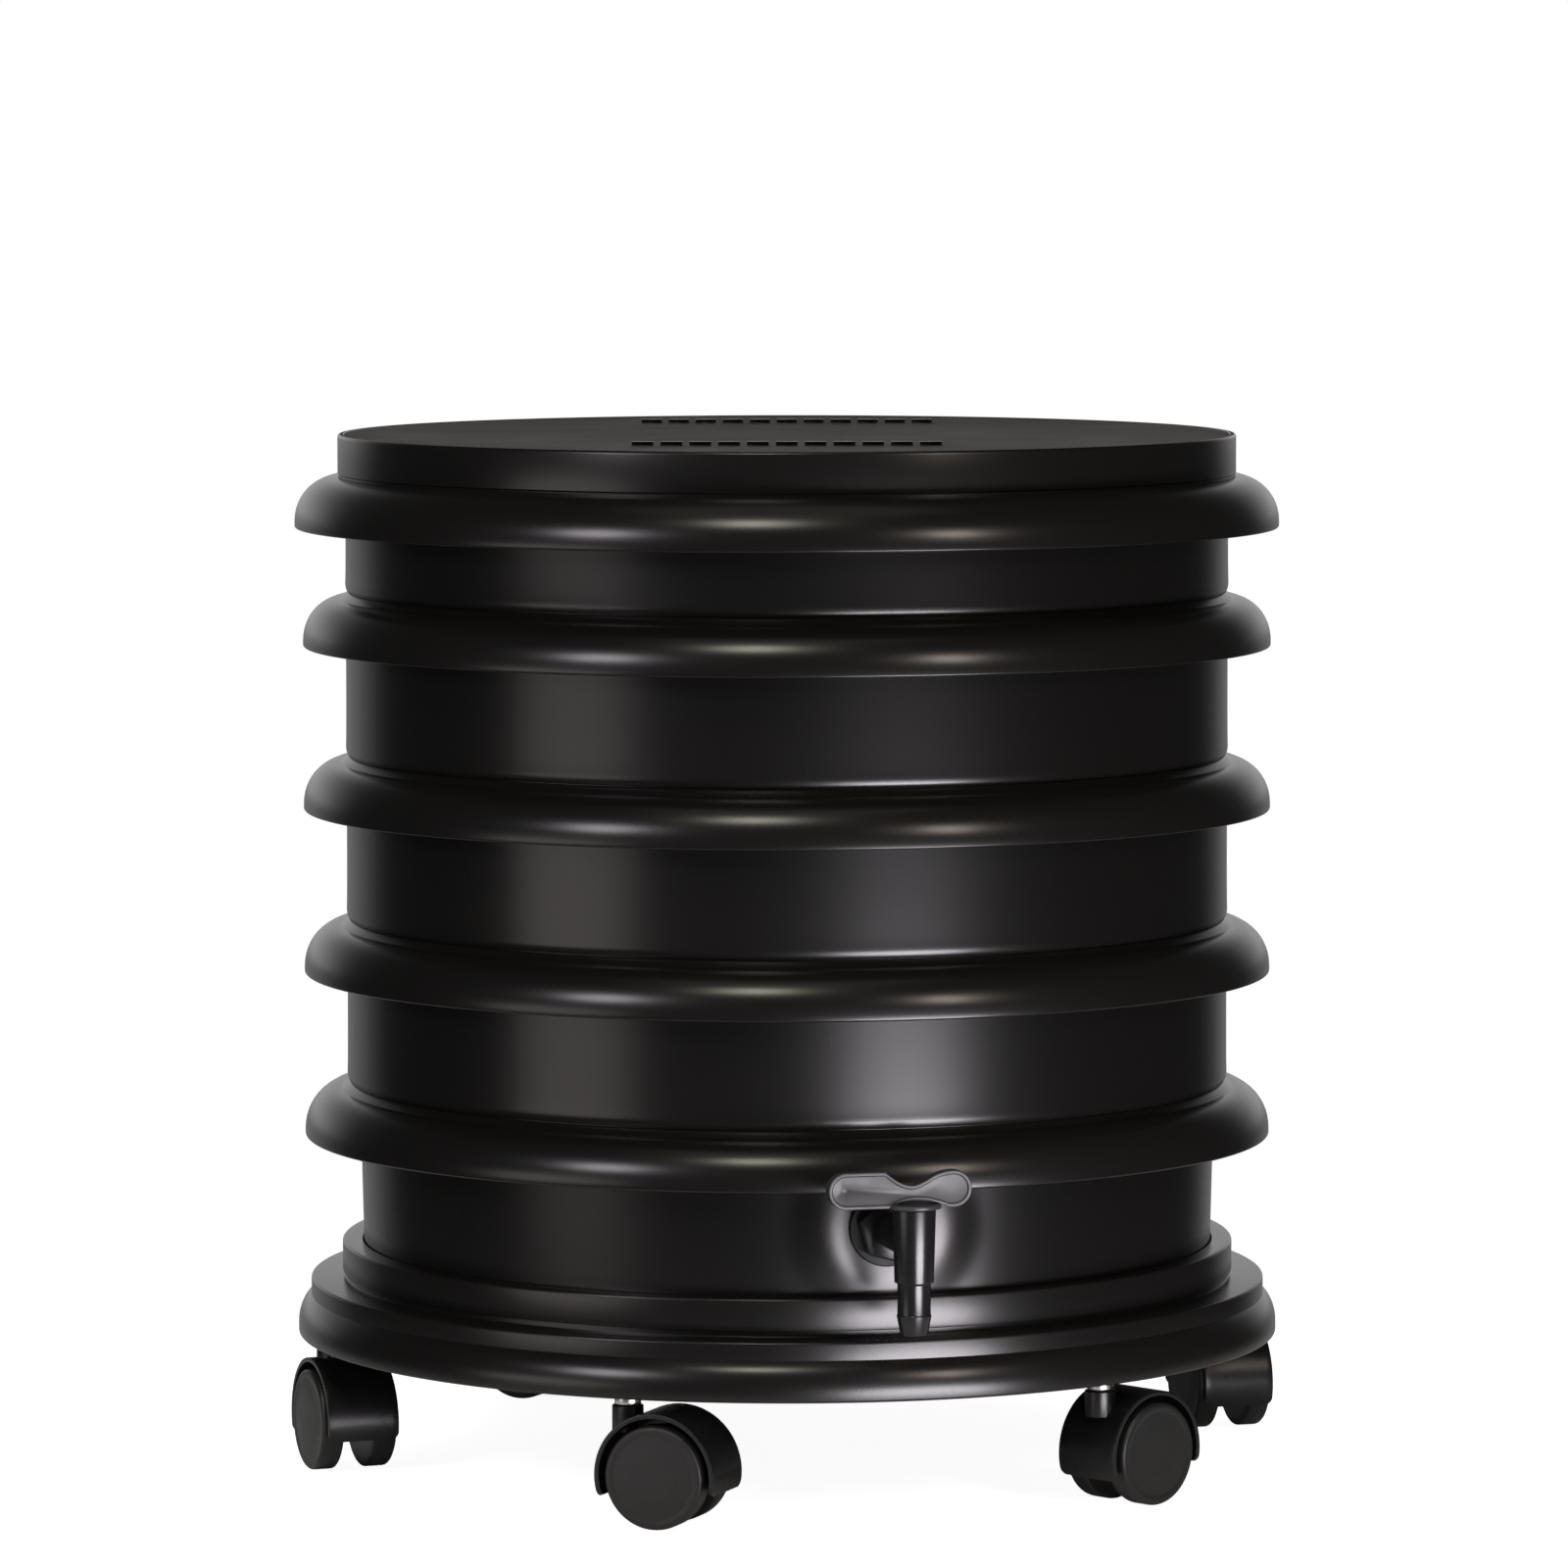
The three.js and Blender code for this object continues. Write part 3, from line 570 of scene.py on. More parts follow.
def rimCorners(wall, top, rim):
    # the turned-down rim, from its underside at the wall over to the land that it springs from
    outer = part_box("tray_4")[1].x
    shelf = top - rim["drop"]
    curveFoot = shelf - rim["curve"]
    bottom = top - rim["height"]
    shelfRadius = tray["wall"] + tray["shelf"]
    inner = outer - tray["rimWall"]
    under = shoulder(inner, shelfRadius, curveFoot, shelf - tray["rimWall"], 8)
    corners = [
        (wall, shelf - tray["rimWall"], fillet["full"]),
        *reversed(under),
        (inner, bottom, fillet["soft"]),
        (outer, bottom, tray["rimEdge"]),
        (outer, curveFoot, 0),
        *shoulder(outer, shelfRadius, curveFoot, shelf),
        (shelfRadius, shelf, 0),
    ]
    if rim["drop"]:
        corners.append((tray["wall"] - tray["recess"], top, fillet["crisp"]))
    return corners


def footCorners(wall, land, rimFoot):
    # the foot that stands on the land below, and the long rounding that leads up to the wall
    recessTop = land + tray["recessHeight"]
    roundingTop = recessTop + tray["footRounding"]
    rounding = shoulder(wall, wall - tray["recess"], roundingTop, recessTop)
    return [
        (wall - tray["recess"], land + tray["seatGap"], 0),
        (wall - tray["recess"], recessTop, 0),
        *reversed(rounding),
        *sunkWall(wall, roundingTop, rimFoot),
    ]


def sunkWall(radius, low, high, steps=14):
    # a moulded wall shrinks inwards between its stiff foot and rim, most near the middle
    points = []
    for k in range(1, steps):
        share = (k / steps) ** 1.6
        height = low + (high - low) * share
        sink = tray["sink"] * 4 * share * (1 - share)
        flare = tray["footFlare"] * min(1, (height - low) / tray["footFlareHeight"]) ** 0.5
        points.append((radius - sink - flare, height, 0))
    return points


def trayCorners(node, rim):
    low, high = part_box(node)
    wall, bottom, top = tray["wall"], low.z, high.z
    land = bottom + tray["spigotDepth"]
    bore = wall - tray["thickness"]
    spigot = bore - tray["spigotGap"]
    spigotInner = spigot - tray["thickness"]
    floorTop = bottom + tray["floor"]
    step = land + tray["thickness"]
    return [
        (0, bottom, 0),
        (spigot, bottom, tray["spigotEdge"]),
        (spigot, land + tray["seatGap"], 0),
        *footCorners(wall, land, top - rim["drop"] - tray["rimWall"] - fillet["full"]),
        *rimCorners(wall, top, rim),
        (bore, top, fillet["soft"]),
        (bore, step + tray["thickness"], fillet["round"]),
        (spigotInner, step, fillet["round"]),
        (spigotInner, floorTop, tray["floorFillet"]),
        (0, floorTop, 0),
    ]


def makeTray(node, rim):
    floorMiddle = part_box(node)[0].z + tray["floor"] / 2
    holes = {"Rings": tray["holeRings"], "Pitch": tray["holePitch"], "Hole Radius": tray["holeRadius"],
             "Middle": floorMiddle, "Depth": tray["floor"] * 2}
    piece = spin(node + "_shell", trayCorners(node, rim), blackPolypropylene, extra=[("perforate", holes)])
    return finished(piece, node, "shell", node)


for node in ("tray_4", "tray_3", "tray_2"):
    makeTray(node, trayRim)
makeTray("top_tray", topRim)
print("trays made")


# Lid
lid = {
    "skirt": 241.8 * mm,
    "skirtHeight": 22.6 * mm,
    "wall": 3 * mm,
    "curve": 23.8 * mm,
    "flareRise": 2.1 * mm,
    "topEdge": 1.6 * mm,
    "beadWidth": 3 * mm,
    "beadSlope": 0.5 * mm,
    "beadHeight": 0.35 * mm,
    "grainedDepth": 1 * mm,
    "grainedTilt": 0.9,
    "grooveDepth": 0.7 * mm,
    "grooveHeight": 0.9 * mm,
    "footRounding": 1 * mm,
    "flareEdge": 1.2 * mm,
    "ventCount": 11,
    "ventPitch": 15 * mm,
    "ventFront": -150 * mm,
    "ventBack": 142 * mm,
}
vent = {
    "length": 11.5 * mm,
    "height": 1.8 * mm,
    "reach": 7 * mm,
    "root": 1.2 * mm,
    "step": 0.1 * mm,
    "brow": 3.5 * mm,
    "browDrop": 0.5 * mm,
    "crest": 1.5 * mm,
    "slotEnd": 3 * mm,
    "lip": 0.55 * mm,
    "roof": 0.6 * mm,
    "edge": 0.25 * mm,
}


def makeVent():
    # one low hood, open in a slot towards the front; an outline in the YZ plane
    high, reach, slotEnd = vent["height"], vent["reach"], vent["slotEnd"]
    outline = [
        (reach, -vent["root"]),
        (reach, vent["step"]),
        (vent["brow"], high - vent["browDrop"]),
        (-vent["crest"], high),
        (-reach, high),
        (-reach, high - vent["lip"]),
        (-slotEnd, high - vent["roof"]),
        (-slotEnd, vent["step"]),
        (-reach, vent["step"]),
        (-reach, -vent["root"]),
    ]
    half = vent["length"] / 2
    piece = extruded("vent", outline, -half, half, blackPolypropylene, vent["edge"])
    return moved(piece, Matrix(((0, 0, 1, 0), (1, 0, 0, 0), (0, 1, 0, 0), (0, 0, 0, 1))))


def makeLid():
    low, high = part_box("lid")
    flare = high.x
    top = high.z - vent["height"]
    flareTop = top - lid["skirtHeight"]
    skirt, wall = lid["skirt"], lid["wall"]
    bandTop = flareTop - lid["curve"]
    grooveTop = flareTop + lid["grooveHeight"]
    inner = flare - wall
    seat = flareTop - wall - lid["flareRise"]
    under = shoulder(inner, skirt, bandTop - wall / 2, seat, 8)
    corners = [
        (0, top - wall, 0),
        (skirt - wall, top - wall, fillet["round"]),
        (skirt - wall, seat, fillet["light"]),
        *reversed(under),
        (inner, bandTop - wall / 2, 0),
        (inner, low.z, fillet["soft"]),
        (flare, low.z, lid["flareEdge"]),
        (flare, bandTop, 0),
        *shoulder(flare, skirt, bandTop, flareTop),
        (skirt - lid["grooveDepth"], flareTop, 0),
        (skirt - lid["grooveDepth"], grooveTop, 0),
        (skirt, grooveTop, lid["footRounding"]),
        (skirt, top, lid["topEdge"]),
        (skirt - lid["beadWidth"], top, fillet["fine"]),
        (skirt - lid["beadWidth"] - lid["beadSlope"], top - lid["beadHeight"], fillet["fine"]),
        (0, top - lid["beadHeight"], 0),
    ]
    shell = spin("lid_shell", corners, blackPolypropylene)
    shell.data.materials.append(grainedPolypropylene)
    for face in shell.data.polygons:
        if face.center.z > top - lid["grainedDepth"] and face.normal.z > lid["grainedTilt"]:
            face.material_index = 1
    vents = makeVent()
    useTree(vents, trees["rows"], {
        "Count": lid["ventCount"], "Pitch": lid["ventPitch"], "Front": lid["ventFront"],
        "Back": lid["ventBack"], "Height": top, "Material": blackPolypropylene})
    settle(vents)
    faceOut(vents)
    return finished(joined(shell, vents), "lid", "shell", "lid")


makeLid()
print("lid made")


# Collector basin
basin = {
    "footRadius": 229 * mm,
    "wall": 3.7 * mm,
    "floor": 3 * mm,
    "floorFillet": 3 * mm,
    "footRounding": 2 * mm,
    "shoulder": 7 * mm,
    "slope": 2.5 / 103.6,
    "wallRows": 24,
    "sides": 288,
    "padRadius": 23 * mm,
    "padReach": 52 * mm,
    "padProud": 1 * mm,
    "padMargin": 2 * mm,
    "padNearest": 200 * mm,
    "padFarthest": 235 * mm,
}
turnJoint = jointNamed["tap_turn"]["pos_m"]
tapOut = Vector((turnJoint[0], turnJoint[1], 0)).normalized()
tapHeight = (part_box("tap_gasket")[0].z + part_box("tap_gasket")[1].z) / 2
tapFrame = Matrix.Translation((0, 0, tapHeight)) @ Matrix.Rotation(atan2(tapOut.y, tapOut.x), 4, "Z")


def makeBasin():
    low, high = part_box("collector_basin")
    bottom, top = low.z, high.z
    bore = tray["wall"] - tray["thickness"]
    shelf = top - tray["spigotDepth"] - tray["spigotGap"]
    shoulderTop = shelf - basin["wall"] / 2
    shoulderFoot = shoulderTop - basin["shoulder"]
    wallTop = basin["footRadius"] + basin["slope"] * (shoulderFoot - bottom)
    floorTop = bottom + basin["floor"]
    foot = (basin["footRadius"], bottom, basin["footRounding"])
    corners = [(0, bottom, 0), foot]
    # rows of points up the wall let it be drawn flat where the tap is clamped
    for k in range(1, basin["wallRows"]):
        share = k / basin["wallRows"]
        radius = basin["footRadius"] + (wallTop - basin["footRadius"]) * share
        corners.append((radius, bottom + (shoulderFoot - bottom) * share, 0))
    corners += [
        (wallTop, shoulderFoot, fillet["round"]),
        (tray["wall"], shoulderTop, fillet["round"]),
        *rimCorners(tray["wall"], top, trayRim),
        (bore, top, fillet["soft"]),
        (bore, shelf, fillet["soft"]),
        (wallTop - basin["wall"], shelf - basin["shoulder"], fillet["round"]),
        (basin["footRadius"] - basin["wall"], floorTop, basin["floorFillet"]),
        (0, floorTop, 0),
    ]
    piece = spin("collector_basin_shell", corners, blackPolypropylene, basin["sides"])
    drawFlat(piece.data)
    return finished(piece, "basin", "shell", "collector_basin")


def drawFlat(mesh):
    # the wall bends to a flat face under the gasket and eases back into its curve
    wallAtTap = basin["footRadius"] + basin["slope"] * (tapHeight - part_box("collector_basin")[0].z)
    face = wallAtTap + basin["padProud"]
    back = tapFrame.inverted()
    for vertex in mesh.vertices:
        place = back @ vertex.co
        away = (place.y ** 2 + place.z ** 2) ** 0.5
        reach = Vector((place.x, place.y)).length
        if place.x < basin["padNearest"] or away > basin["padReach"] or reach > basin["padFarthest"]:
            continue
        if reach < wallAtTap - basin["wall"] - basin["padMargin"]:
            continue
        ease = min(1, (basin["padReach"] - away) / (basin["padReach"] - basin["padRadius"]))
        ease = ease * ease * (3 - 2 * ease)
        inside = reach < wallAtTap - basin["wall"] / 2
        flat = face - basin["wall"] - basin["padProud"] if inside else face
        place.x += (flat - place.x) * ease
        vertex.co = tapFrame @ place


makeBasin()
print("basin made")


# Plinth
plinth = {
    "lowerStep": 258 * mm,
    "upperStep": 241 * mm,
    "flareBand": 5.1 * mm,
    "flareHeight": 21 * mm,
    "flareReach": 12.4 * mm,
    "lowerStepHeight": 9.5 * mm,
    "grooveHeight": 3.2 * mm,
    "grooveDepth": 1.5 * mm,
    "wellDepth": 17.4 * mm,
    "wellGap": 0.6 * mm,
    "deck": 5.5 * mm,
    "flareWall": 3 * mm,
    "flareEdge": 1.3 * mm,
    "stepEdge": 1.4 * mm,
    "ribWidth": 3 * mm,
    "ribDepth": 14 * mm,
    "rootDepth": 1 * mm,
    "hub": 26 * mm,
    "socket": 8.2 * mm,
    "socketDepth": 24 * mm,
    "stem": 4.8 * mm,
    "casters": 6,
}
firstStem = Vector(jointNamed["caster_1_swivel"]["pos_m"])
firstTurn = atan2(firstStem.y, firstStem.x)
stemCircle = Vector((firstStem.x, firstStem.y)).length


def makePlinth():
    low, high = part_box("plinth")
    flare, bottom, top = high.x, low.z, high.z
    bandTop = bottom + plinth["flareBand"]
    stepFoot = bottom + plinth["flareHeight"]
    stepTop = stepFoot + plinth["lowerStepHeight"]
    upperFoot = stepTop + plinth["grooveHeight"]
    deckTop = top - plinth["wellDepth"]
    deckFoot = deckTop - plinth["deck"]
    grooveRadius = plinth["upperStep"] - plinth["grooveDepth"]
    inner = flare - plinth["flareWall"]
    well = basin["footRadius"] + basin["slope"] * plinth["wellDepth"] + plinth["wellGap"]
    step = plinth["lowerStep"]
    corners = [
        (0, deckFoot, 0),
        (step - plinth["flareWall"], deckFoot, fillet["full"]),
        (step - plinth["flareWall"], stepFoot - plinth["flareWall"], fillet["round"]),
        (inner, bandTop, 0),
        (inner, bottom, fillet["soft"]),
        (flare, bottom, plinth["flareEdge"]),
        (flare, bandTop, 0),
        *shoulder(flare, step, bandTop, stepFoot, 12, plinth["flareReach"]),
        (step, stepFoot, 0),
        (step, stepTop, plinth["stepEdge"]),
        (grooveRadius, stepTop, fillet["fine"]),
        (grooveRadius, upperFoot, 0),
        (plinth["upperStep"], upperFoot, fillet["light"]),
        (plinth["upperStep"], top, plinth["stepEdge"]),
        (well, top, fillet["soft"]),
        (well, deckTop, fillet["round"]),
        (0, deckTop, 0),
    ]
    shell = spin("plinth_shell", corners, blackPolypropylene)
    # the hub, ribs and sockets are rooted in the deck
    rootTop = deckFoot + plinth["rootDepth"]
    hubFoot = deckFoot - plinth["ribDepth"]
    hub = spin("hub", [
        (0, hubFoot, 0),
        (plinth["hub"], hubFoot, fillet["round"]),
        (plinth["hub"], rootTop, 0),
        (0, rootTop, 0),
    ], blackPolypropylene, 64)
    half = plinth["ribWidth"] / 2
    ribOutline = [(0, -half), (stemCircle, -half), (stemCircle, half), (0, half)]
    ribs = extruded("ribs", ribOutline, hubFoot, rootTop, blackPolypropylene, fillet["light"])
    turning = {"Count": plinth["casters"], "First Turn": firstTurn, "Material": blackPolypropylene}
    useTree(ribs, trees["round"], turning)
    faceOut(settle(ribs))
    socketTop = bottom + plinth["socketDepth"]
    sockets = spin("sockets", [
        (plinth["stem"], bottom, fillet["fine"]),
        (plinth["socket"], bottom, fillet["soft"]),
        (plinth["socket"], rootTop, 0),
        (0, rootTop, 0),
        (0, socketTop, 0),
        (plinth["stem"], socketTop, 0),
    ], blackPolypropylene, 48)
    moved(sockets, Matrix.Translation((stemCircle, 0, 0)))
    useTree(sockets, trees["round"], turning)
    faceOut(settle(sockets))
    return finished(joined(shell, hub, ribs, sockets), "plinth", "shell", "plinth")


makePlinth()
print("plinth made")


# Tap
tap = {
    "barrelTopRadius": 11.1 * mm,
    "barrelFootRadius": 10.05 * mm,
    "above": 17.9 * mm,
    "below": 20.5 * mm,
    "spout": 8.5 * mm,
    "spoutLength": 16.2 * mm,
    "barb": 8.95 * mm,
    "barbTip": 6.95 * mm,
    "barbLength": 10 * mm,
    "barbStep": 0.5 * mm,
    "barrelChamfer": 0.9 * mm,
    "bore": 4.9 * mm,
    "plugBore": 7.3 * mm,
    "plugBoreFoot": -14.3 * mm,
    "inlet": 9 * mm,
    "inletBore": 5.5 * mm,
    "inletShort": 6 * mm,
    "nutAcrossFlats": 30 * mm,
    "nutThickness": 9 * mm,
    "nutTurn": 15,
    "nutEdge": 1.1 * mm,
    "gasket": 20 * mm,
    "washer": 18 * mm,
    "gap": 0.3 * mm,
}
uprightAt = Matrix.Translation((turnJoint[0], turnJoint[1], tapHeight))
lying = tapFrame @ Matrix.Rotation(pi / 2, 4, "Y")


def alongTap(node):
    # nearest and farthest distance of a node along the tap's own axis
    back = tapFrame.inverted()
    places = [(back @ v.co).x for v in frame["nodes"][node].data.vertices]
    return min(places), max(places)


def hexOutline(acrossFlats, turn=0):
    radius = acrossFlats / 2 / cos(pi / 6)
    return [(radius * cos(tau * k / 6 + turn), radius * sin(tau * k / 6 + turn)) for k in range(6)]


def makeTapBody():
    reach = (Vector(turnJoint[:2])).length
    gasketOut = alongTap("tap_gasket")[1]
    inletFrom = alongTap("tap_body")[0]
    foot = -tap["below"]
    spoutFoot = foot - tap["spoutLength"]
    tip = spoutFoot - tap["barbLength"]
    barrel = spin("tap_body_moulding", [
        (tap["bore"], tip, fillet["crisp"]),
        (tap["barbTip"], tip, fillet["mild"]),
        (tap["barb"], spoutFoot, fillet["crisp"]),
        (tap["spout"], spoutFoot + tap["barbStep"], fillet["trimmed"]),
        (tap["spout"], foot, fillet["fine"]),
        (tap["barrelFootRadius"], foot + tap["barrelChamfer"], fillet["fine"]),
        (tap["barrelTopRadius"], tap["above"], fillet["light"]),
        (tap["plugBore"], tap["above"], fillet["crisp"]),
        (tap["plugBore"], tap["plugBoreFoot"], 0),
        (tap["bore"], tap["plugBoreFoot"], 0),
    ], blackNylon, 96)
    moved(barrel, uprightAt)
    inlet = spin("inlet", [
        (tap["inletBore"], inletFrom, fillet["crisp"]),
        (tap["inlet"], inletFrom, fillet["eased"]),
        (tap["inlet"], reach - tap["inletShort"], 0),
        (tap["inletBore"], reach - tap["inletShort"], 0),
    ], blackNylon, 96)
    moved(inlet, lying)
    nutFrom = gasketOut + tap["gap"]
    outline = hexOutline(tap["nutAcrossFlats"], radians(tap["nutTurn"]))
    nut = extruded("nut", outline, nutFrom, nutFrom + tap["nutThickness"], blackNylon, tap["nutEdge"], 4)
    moved(nut, lying)
    return finished(joined(barrel, inlet, nut), "basin", "tap", "tap_body")


def makeRing(name, node, radius, edge):
    # a rubber ring on the inlet
    near, far = alongTap(node)
    bore = tap["inlet"] + tap["gap"]
    ring = spin(name, [
        (bore, near, fillet["crisp"]),
        (radius, near, edge),
        (radius, far, edge),
        (bore, far, fillet["crisp"]),
    ], nitrileRubber, 96)
    return finished(moved(ring, lying), "basin", "rubber", node)


makeTapBody()
makeRing("tap_gasket_ring", "tap_gasket", tap["gasket"], fillet["soft"])
makeRing("tap_washer_ring", "tap_washer", tap["washer"], fillet["eased"])
frame["nodes"]["tap_back_nut"].data.materials.clear()
frame["nodes"]["tap_back_nut"].data.materials.append(blackNylon)
print("tap body made")


# Tap handle
handle = {
    "thickness": 7 * mm,
    "height": 18.8 * mm,
    "drop": 2 * mm,
    "longArm": 45.3 * mm,
    "shortArm": 29.4 * mm,
    "waistDip": 7.2 * mm,
    "footArch": 3.9 * mm,
    "border": 1.9 * mm,
    "recess": 0.8 * mm,
    "neckWidth": 14 * mm,
    "collar": 13.9 * mm,
    "collarHeight": 2.4 * mm,
    "plug": 7 * mm,
    "plugFoot": 14 * mm,
    "edge": 0.45 * mm,
    "edgeAngle": 50,
    "dimple": 2.1 * mm,
    "dimpleInset": 8.6 * mm,
    "dimpleTip": 1 * mm,
    "dimpleFloor": 0.3 * mm,
    "dimpleTop": 2.1 * mm,
    "arcSteps": 16,
}
# where the plate's edge bends, as shares of its arms, its waist and the lobe's distance
bendShares = {
    "longFoot": 0.31,
    "longFootBend": 0.155,
    "shortFootBend": 0.3,
    "shortFoot": 0.6,
    "shortTopBend": 0.62,
    "shortTop": 0.31,
    "slope": 0.62,
    "waist": 0.03,
    "longTopBend": 0.175,
    "longTop": 0.35,
}


def bendBetween(start, control, end, steps):
    # a quadratic curve, its start left out
    a, b, c = (Vector(p) for p in (start, control, end))
    shares = [k / steps for k in range(1, steps + 1)]
    return [(a * (1 - t) ** 2 + b * 2 * t * (1 - t) + c * t * t) for t in shares]


def plateOutline(inset):
    # the plate's edge in (arm, height), long arm on the negative side
    steps = handle["arcSteps"]
    lobe = handle["height"] / 2 - inset
    low, high = inset, handle["height"] - inset
    longEnd = -handle["longArm"] + inset + lobe
    shortEnd = handle["shortArm"] - inset - lobe
    long, short = handle["longArm"], handle["shortArm"]
    arch, dip = low + handle["footArch"], high - handle["waistDip"]
    middle = handle["height"] / 2
    points = [Vector((longEnd, low)), Vector((-long * bendShares["longFoot"], low))]
    slope = high - handle["waistDip"] * bendShares["slope"]

    def bendTo(control, end):
        points.extend(bendBetween(points[-1], control, end, steps))

    bendTo((-long * bendShares["longFootBend"], arch), (0, arch))
    bendTo((short * bendShares["shortFootBend"], arch), (short * bendShares["shortFoot"], low))
    for k in range(1, 2 * steps + 1):
        a = -pi / 2 + pi * k / (2 * steps)
        points.append(Vector((shortEnd + lobe * cos(a), middle + lobe * sin(a))))
    bendTo((shortEnd * bendShares["shortTopBend"], high), (shortEnd * bendShares["shortTop"], slope))
    bendTo((short * bendShares["waist"], dip), (-long * bendShares["waist"], dip))
    bendTo((-long * bendShares["longTopBend"], dip), (-long * bendShares["longTop"], high))
    points.append(Vector((longEnd, high)))
    for k in range(1, 2 * steps):
        a = pi / 2 + pi * k / (2 * steps)
        points.append(Vector((longEnd + lobe * cos(a), middle + lobe * sin(a))))
    return points


def makeHandle():
    collarFoot = tap["above"] + tap["gap"]
    collarTop = collarFoot + handle["collarHeight"]
    plateFoot = collarTop - handle["drop"]
    half = handle["thickness"] / 2
    outer, inner = plateOutline(0), plateOutline(handle["border"])
    shape = bmesh.new()
    loops = []
    for outline, out in ((inner, -half + handle["recess"]), (inner, -half), (outer, -half), (outer, half),
                         (inner, half), (inner, half - handle["recess"])):
        loops.append([shape.verts.new((out, p.x, plateFoot + p.y)) for p in outline])
    bridge(shape, loops)
    shape.faces.new(loops[0])
    shape.faces.new(loops[-1])
    plate = faceOut(fromShape("tap_handle_moulding", shape, greyNylon))
    addBevel(plate, handle["edge"], 3, handle["edgeAngle"])
    dimpleAt = Vector((half - handle["recess"], -handle["longArm"] + handle["dimpleInset"],
                       plateFoot + handle["height"] / 2))
    dimple = spin("dimple", [
        (0, -handle["dimpleTip"], 0),
        (handle["dimple"], handle["dimpleFloor"], fillet["eased"]),
        (handle["dimple"], handle["dimpleTop"], 0),
        (0, handle["dimpleTop"], 0),
    ], greyNylon, 32)
    moved(dimple, Matrix.Translation(dimpleAt) @ Matrix.Rotation(pi / 2, 4, "Y"))
    cut = plate.modifiers.new("dimple", "BOOLEAN")
    cut.object = dimple
    cut.operation = "DIFFERENCE"
    cut.solver = "EXACT"
    settle(plate)
    bpy.data.objects.remove(dimple)
    faceOut(plate)
    neckHalf = half - handle["recess"]
    neckTop = plateFoot + handle["footArch"] + handle["border"]
    neckSide = handle["neckWidth"] / 2
    neckOutline = [
        (-neckHalf, -neckSide), (neckHalf, -neckSide), (neckHalf, neckSide), (-neckHalf, neckSide)]
    neck = extruded("neck", neckOutline, plateFoot, neckTop, greyNylon, fillet["fine"])
    collar = spin("collar", [
        (0, -handle["plugFoot"], 0),
        (handle["plug"], -handle["plugFoot"], fillet["fine"]),
        (handle["plug"], collarFoot, fillet["trimmed"]),
        (handle["collar"], collarFoot, fillet["eased"]),
        (handle["collar"], collarTop, fillet["soft"]),
        (0, collarTop, 0),
    ], greyNylon, 96)
    piece = joined(plate, neck, collar)
    turned = tapFrame @ Matrix.Translation((Vector(turnJoint[:2]).length, 0, 0))
    return finished(moved(piece, turned), "tap_handle", "tap_handle", "tap_handle")


makeHandle()
print("tap handle made")


# Casters
caster = {
    "wheel": 26.9 * mm,
    "wheelWidth": 12.5 * mm,
    "wheelGap": 17.5 * mm,
    "wheelRounding": 1.9 * mm,
    "backEdge": 1.2 * mm,
    "backRim": 4 * mm,
    "treadLip": 3.2 * mm,
    "faceInset": 5 * mm,
    "faceStep": 0.25 * mm,
    "faceRise": 0.35 * mm,
    "crownShare": 0.45,
    "crownFillet": 4 * mm,
    "faceWall": 4.3 * mm,
    "hoodInner": 30.7 * mm,
    "hoodOuter": 33.1 * mm,
    "hoodDrop": 8 * mm,
    "hoodHeelDrop": 11.4 * mm,
    "hoodHalf": 19.5 * mm,
    "hoodCorner": 4 * mm,
    "hoodSteps": 56,
    "web": 8 * mm,
    "webLap": 1 * mm,
    "webSteps": 40,
    "neck": 8.15 * mm,
    "neckFoot": 47.2 * mm,
    "boss": 7 * mm,
    "axle": 3 * mm,
    "gap": 0.3 * mm,
    "stem": 4.5 * mm,
    "stemGrip": 11 * mm,
    "collar": 6.9 * mm,
    "collarHeight": 4.2 * mm,
}


onAxle = Matrix.Rotation(pi / 2, 4, "X")  # lays an upright shape along the axle


def casterFrame(label):
    # local X runs from the stem to the axle, local Y along the axle, Z up from the floor;
    # gives the frame, the axle's middle in it and the height of the neck's top
    stem = Vector(jointNamed[label + "_swivel"]["pos_m"])
    axle = Vector(jointNamed[label + "_wheel_a_spin"]["pos_m"])
    trail = Vector((axle.x - stem.x, axle.y - stem.y, 0))
    along = trail.normalized()
    side = Vector((-along.y, along.x, 0))
    turn = Matrix((along, side, Vector((0, 0, 1)))).transposed().to_4x4()
    return Matrix.Translation((stem.x, stem.y, 0)) @ turn, Vector((trail.length, 0, axle.z)), stem.z


def hoodEnds(radius):
    # where the hood starts beyond the axle, and where it ends below the stem
    return -asin(caster["hoodDrop"] / radius), pi + asin(caster["hoodHeelDrop"] / radius)


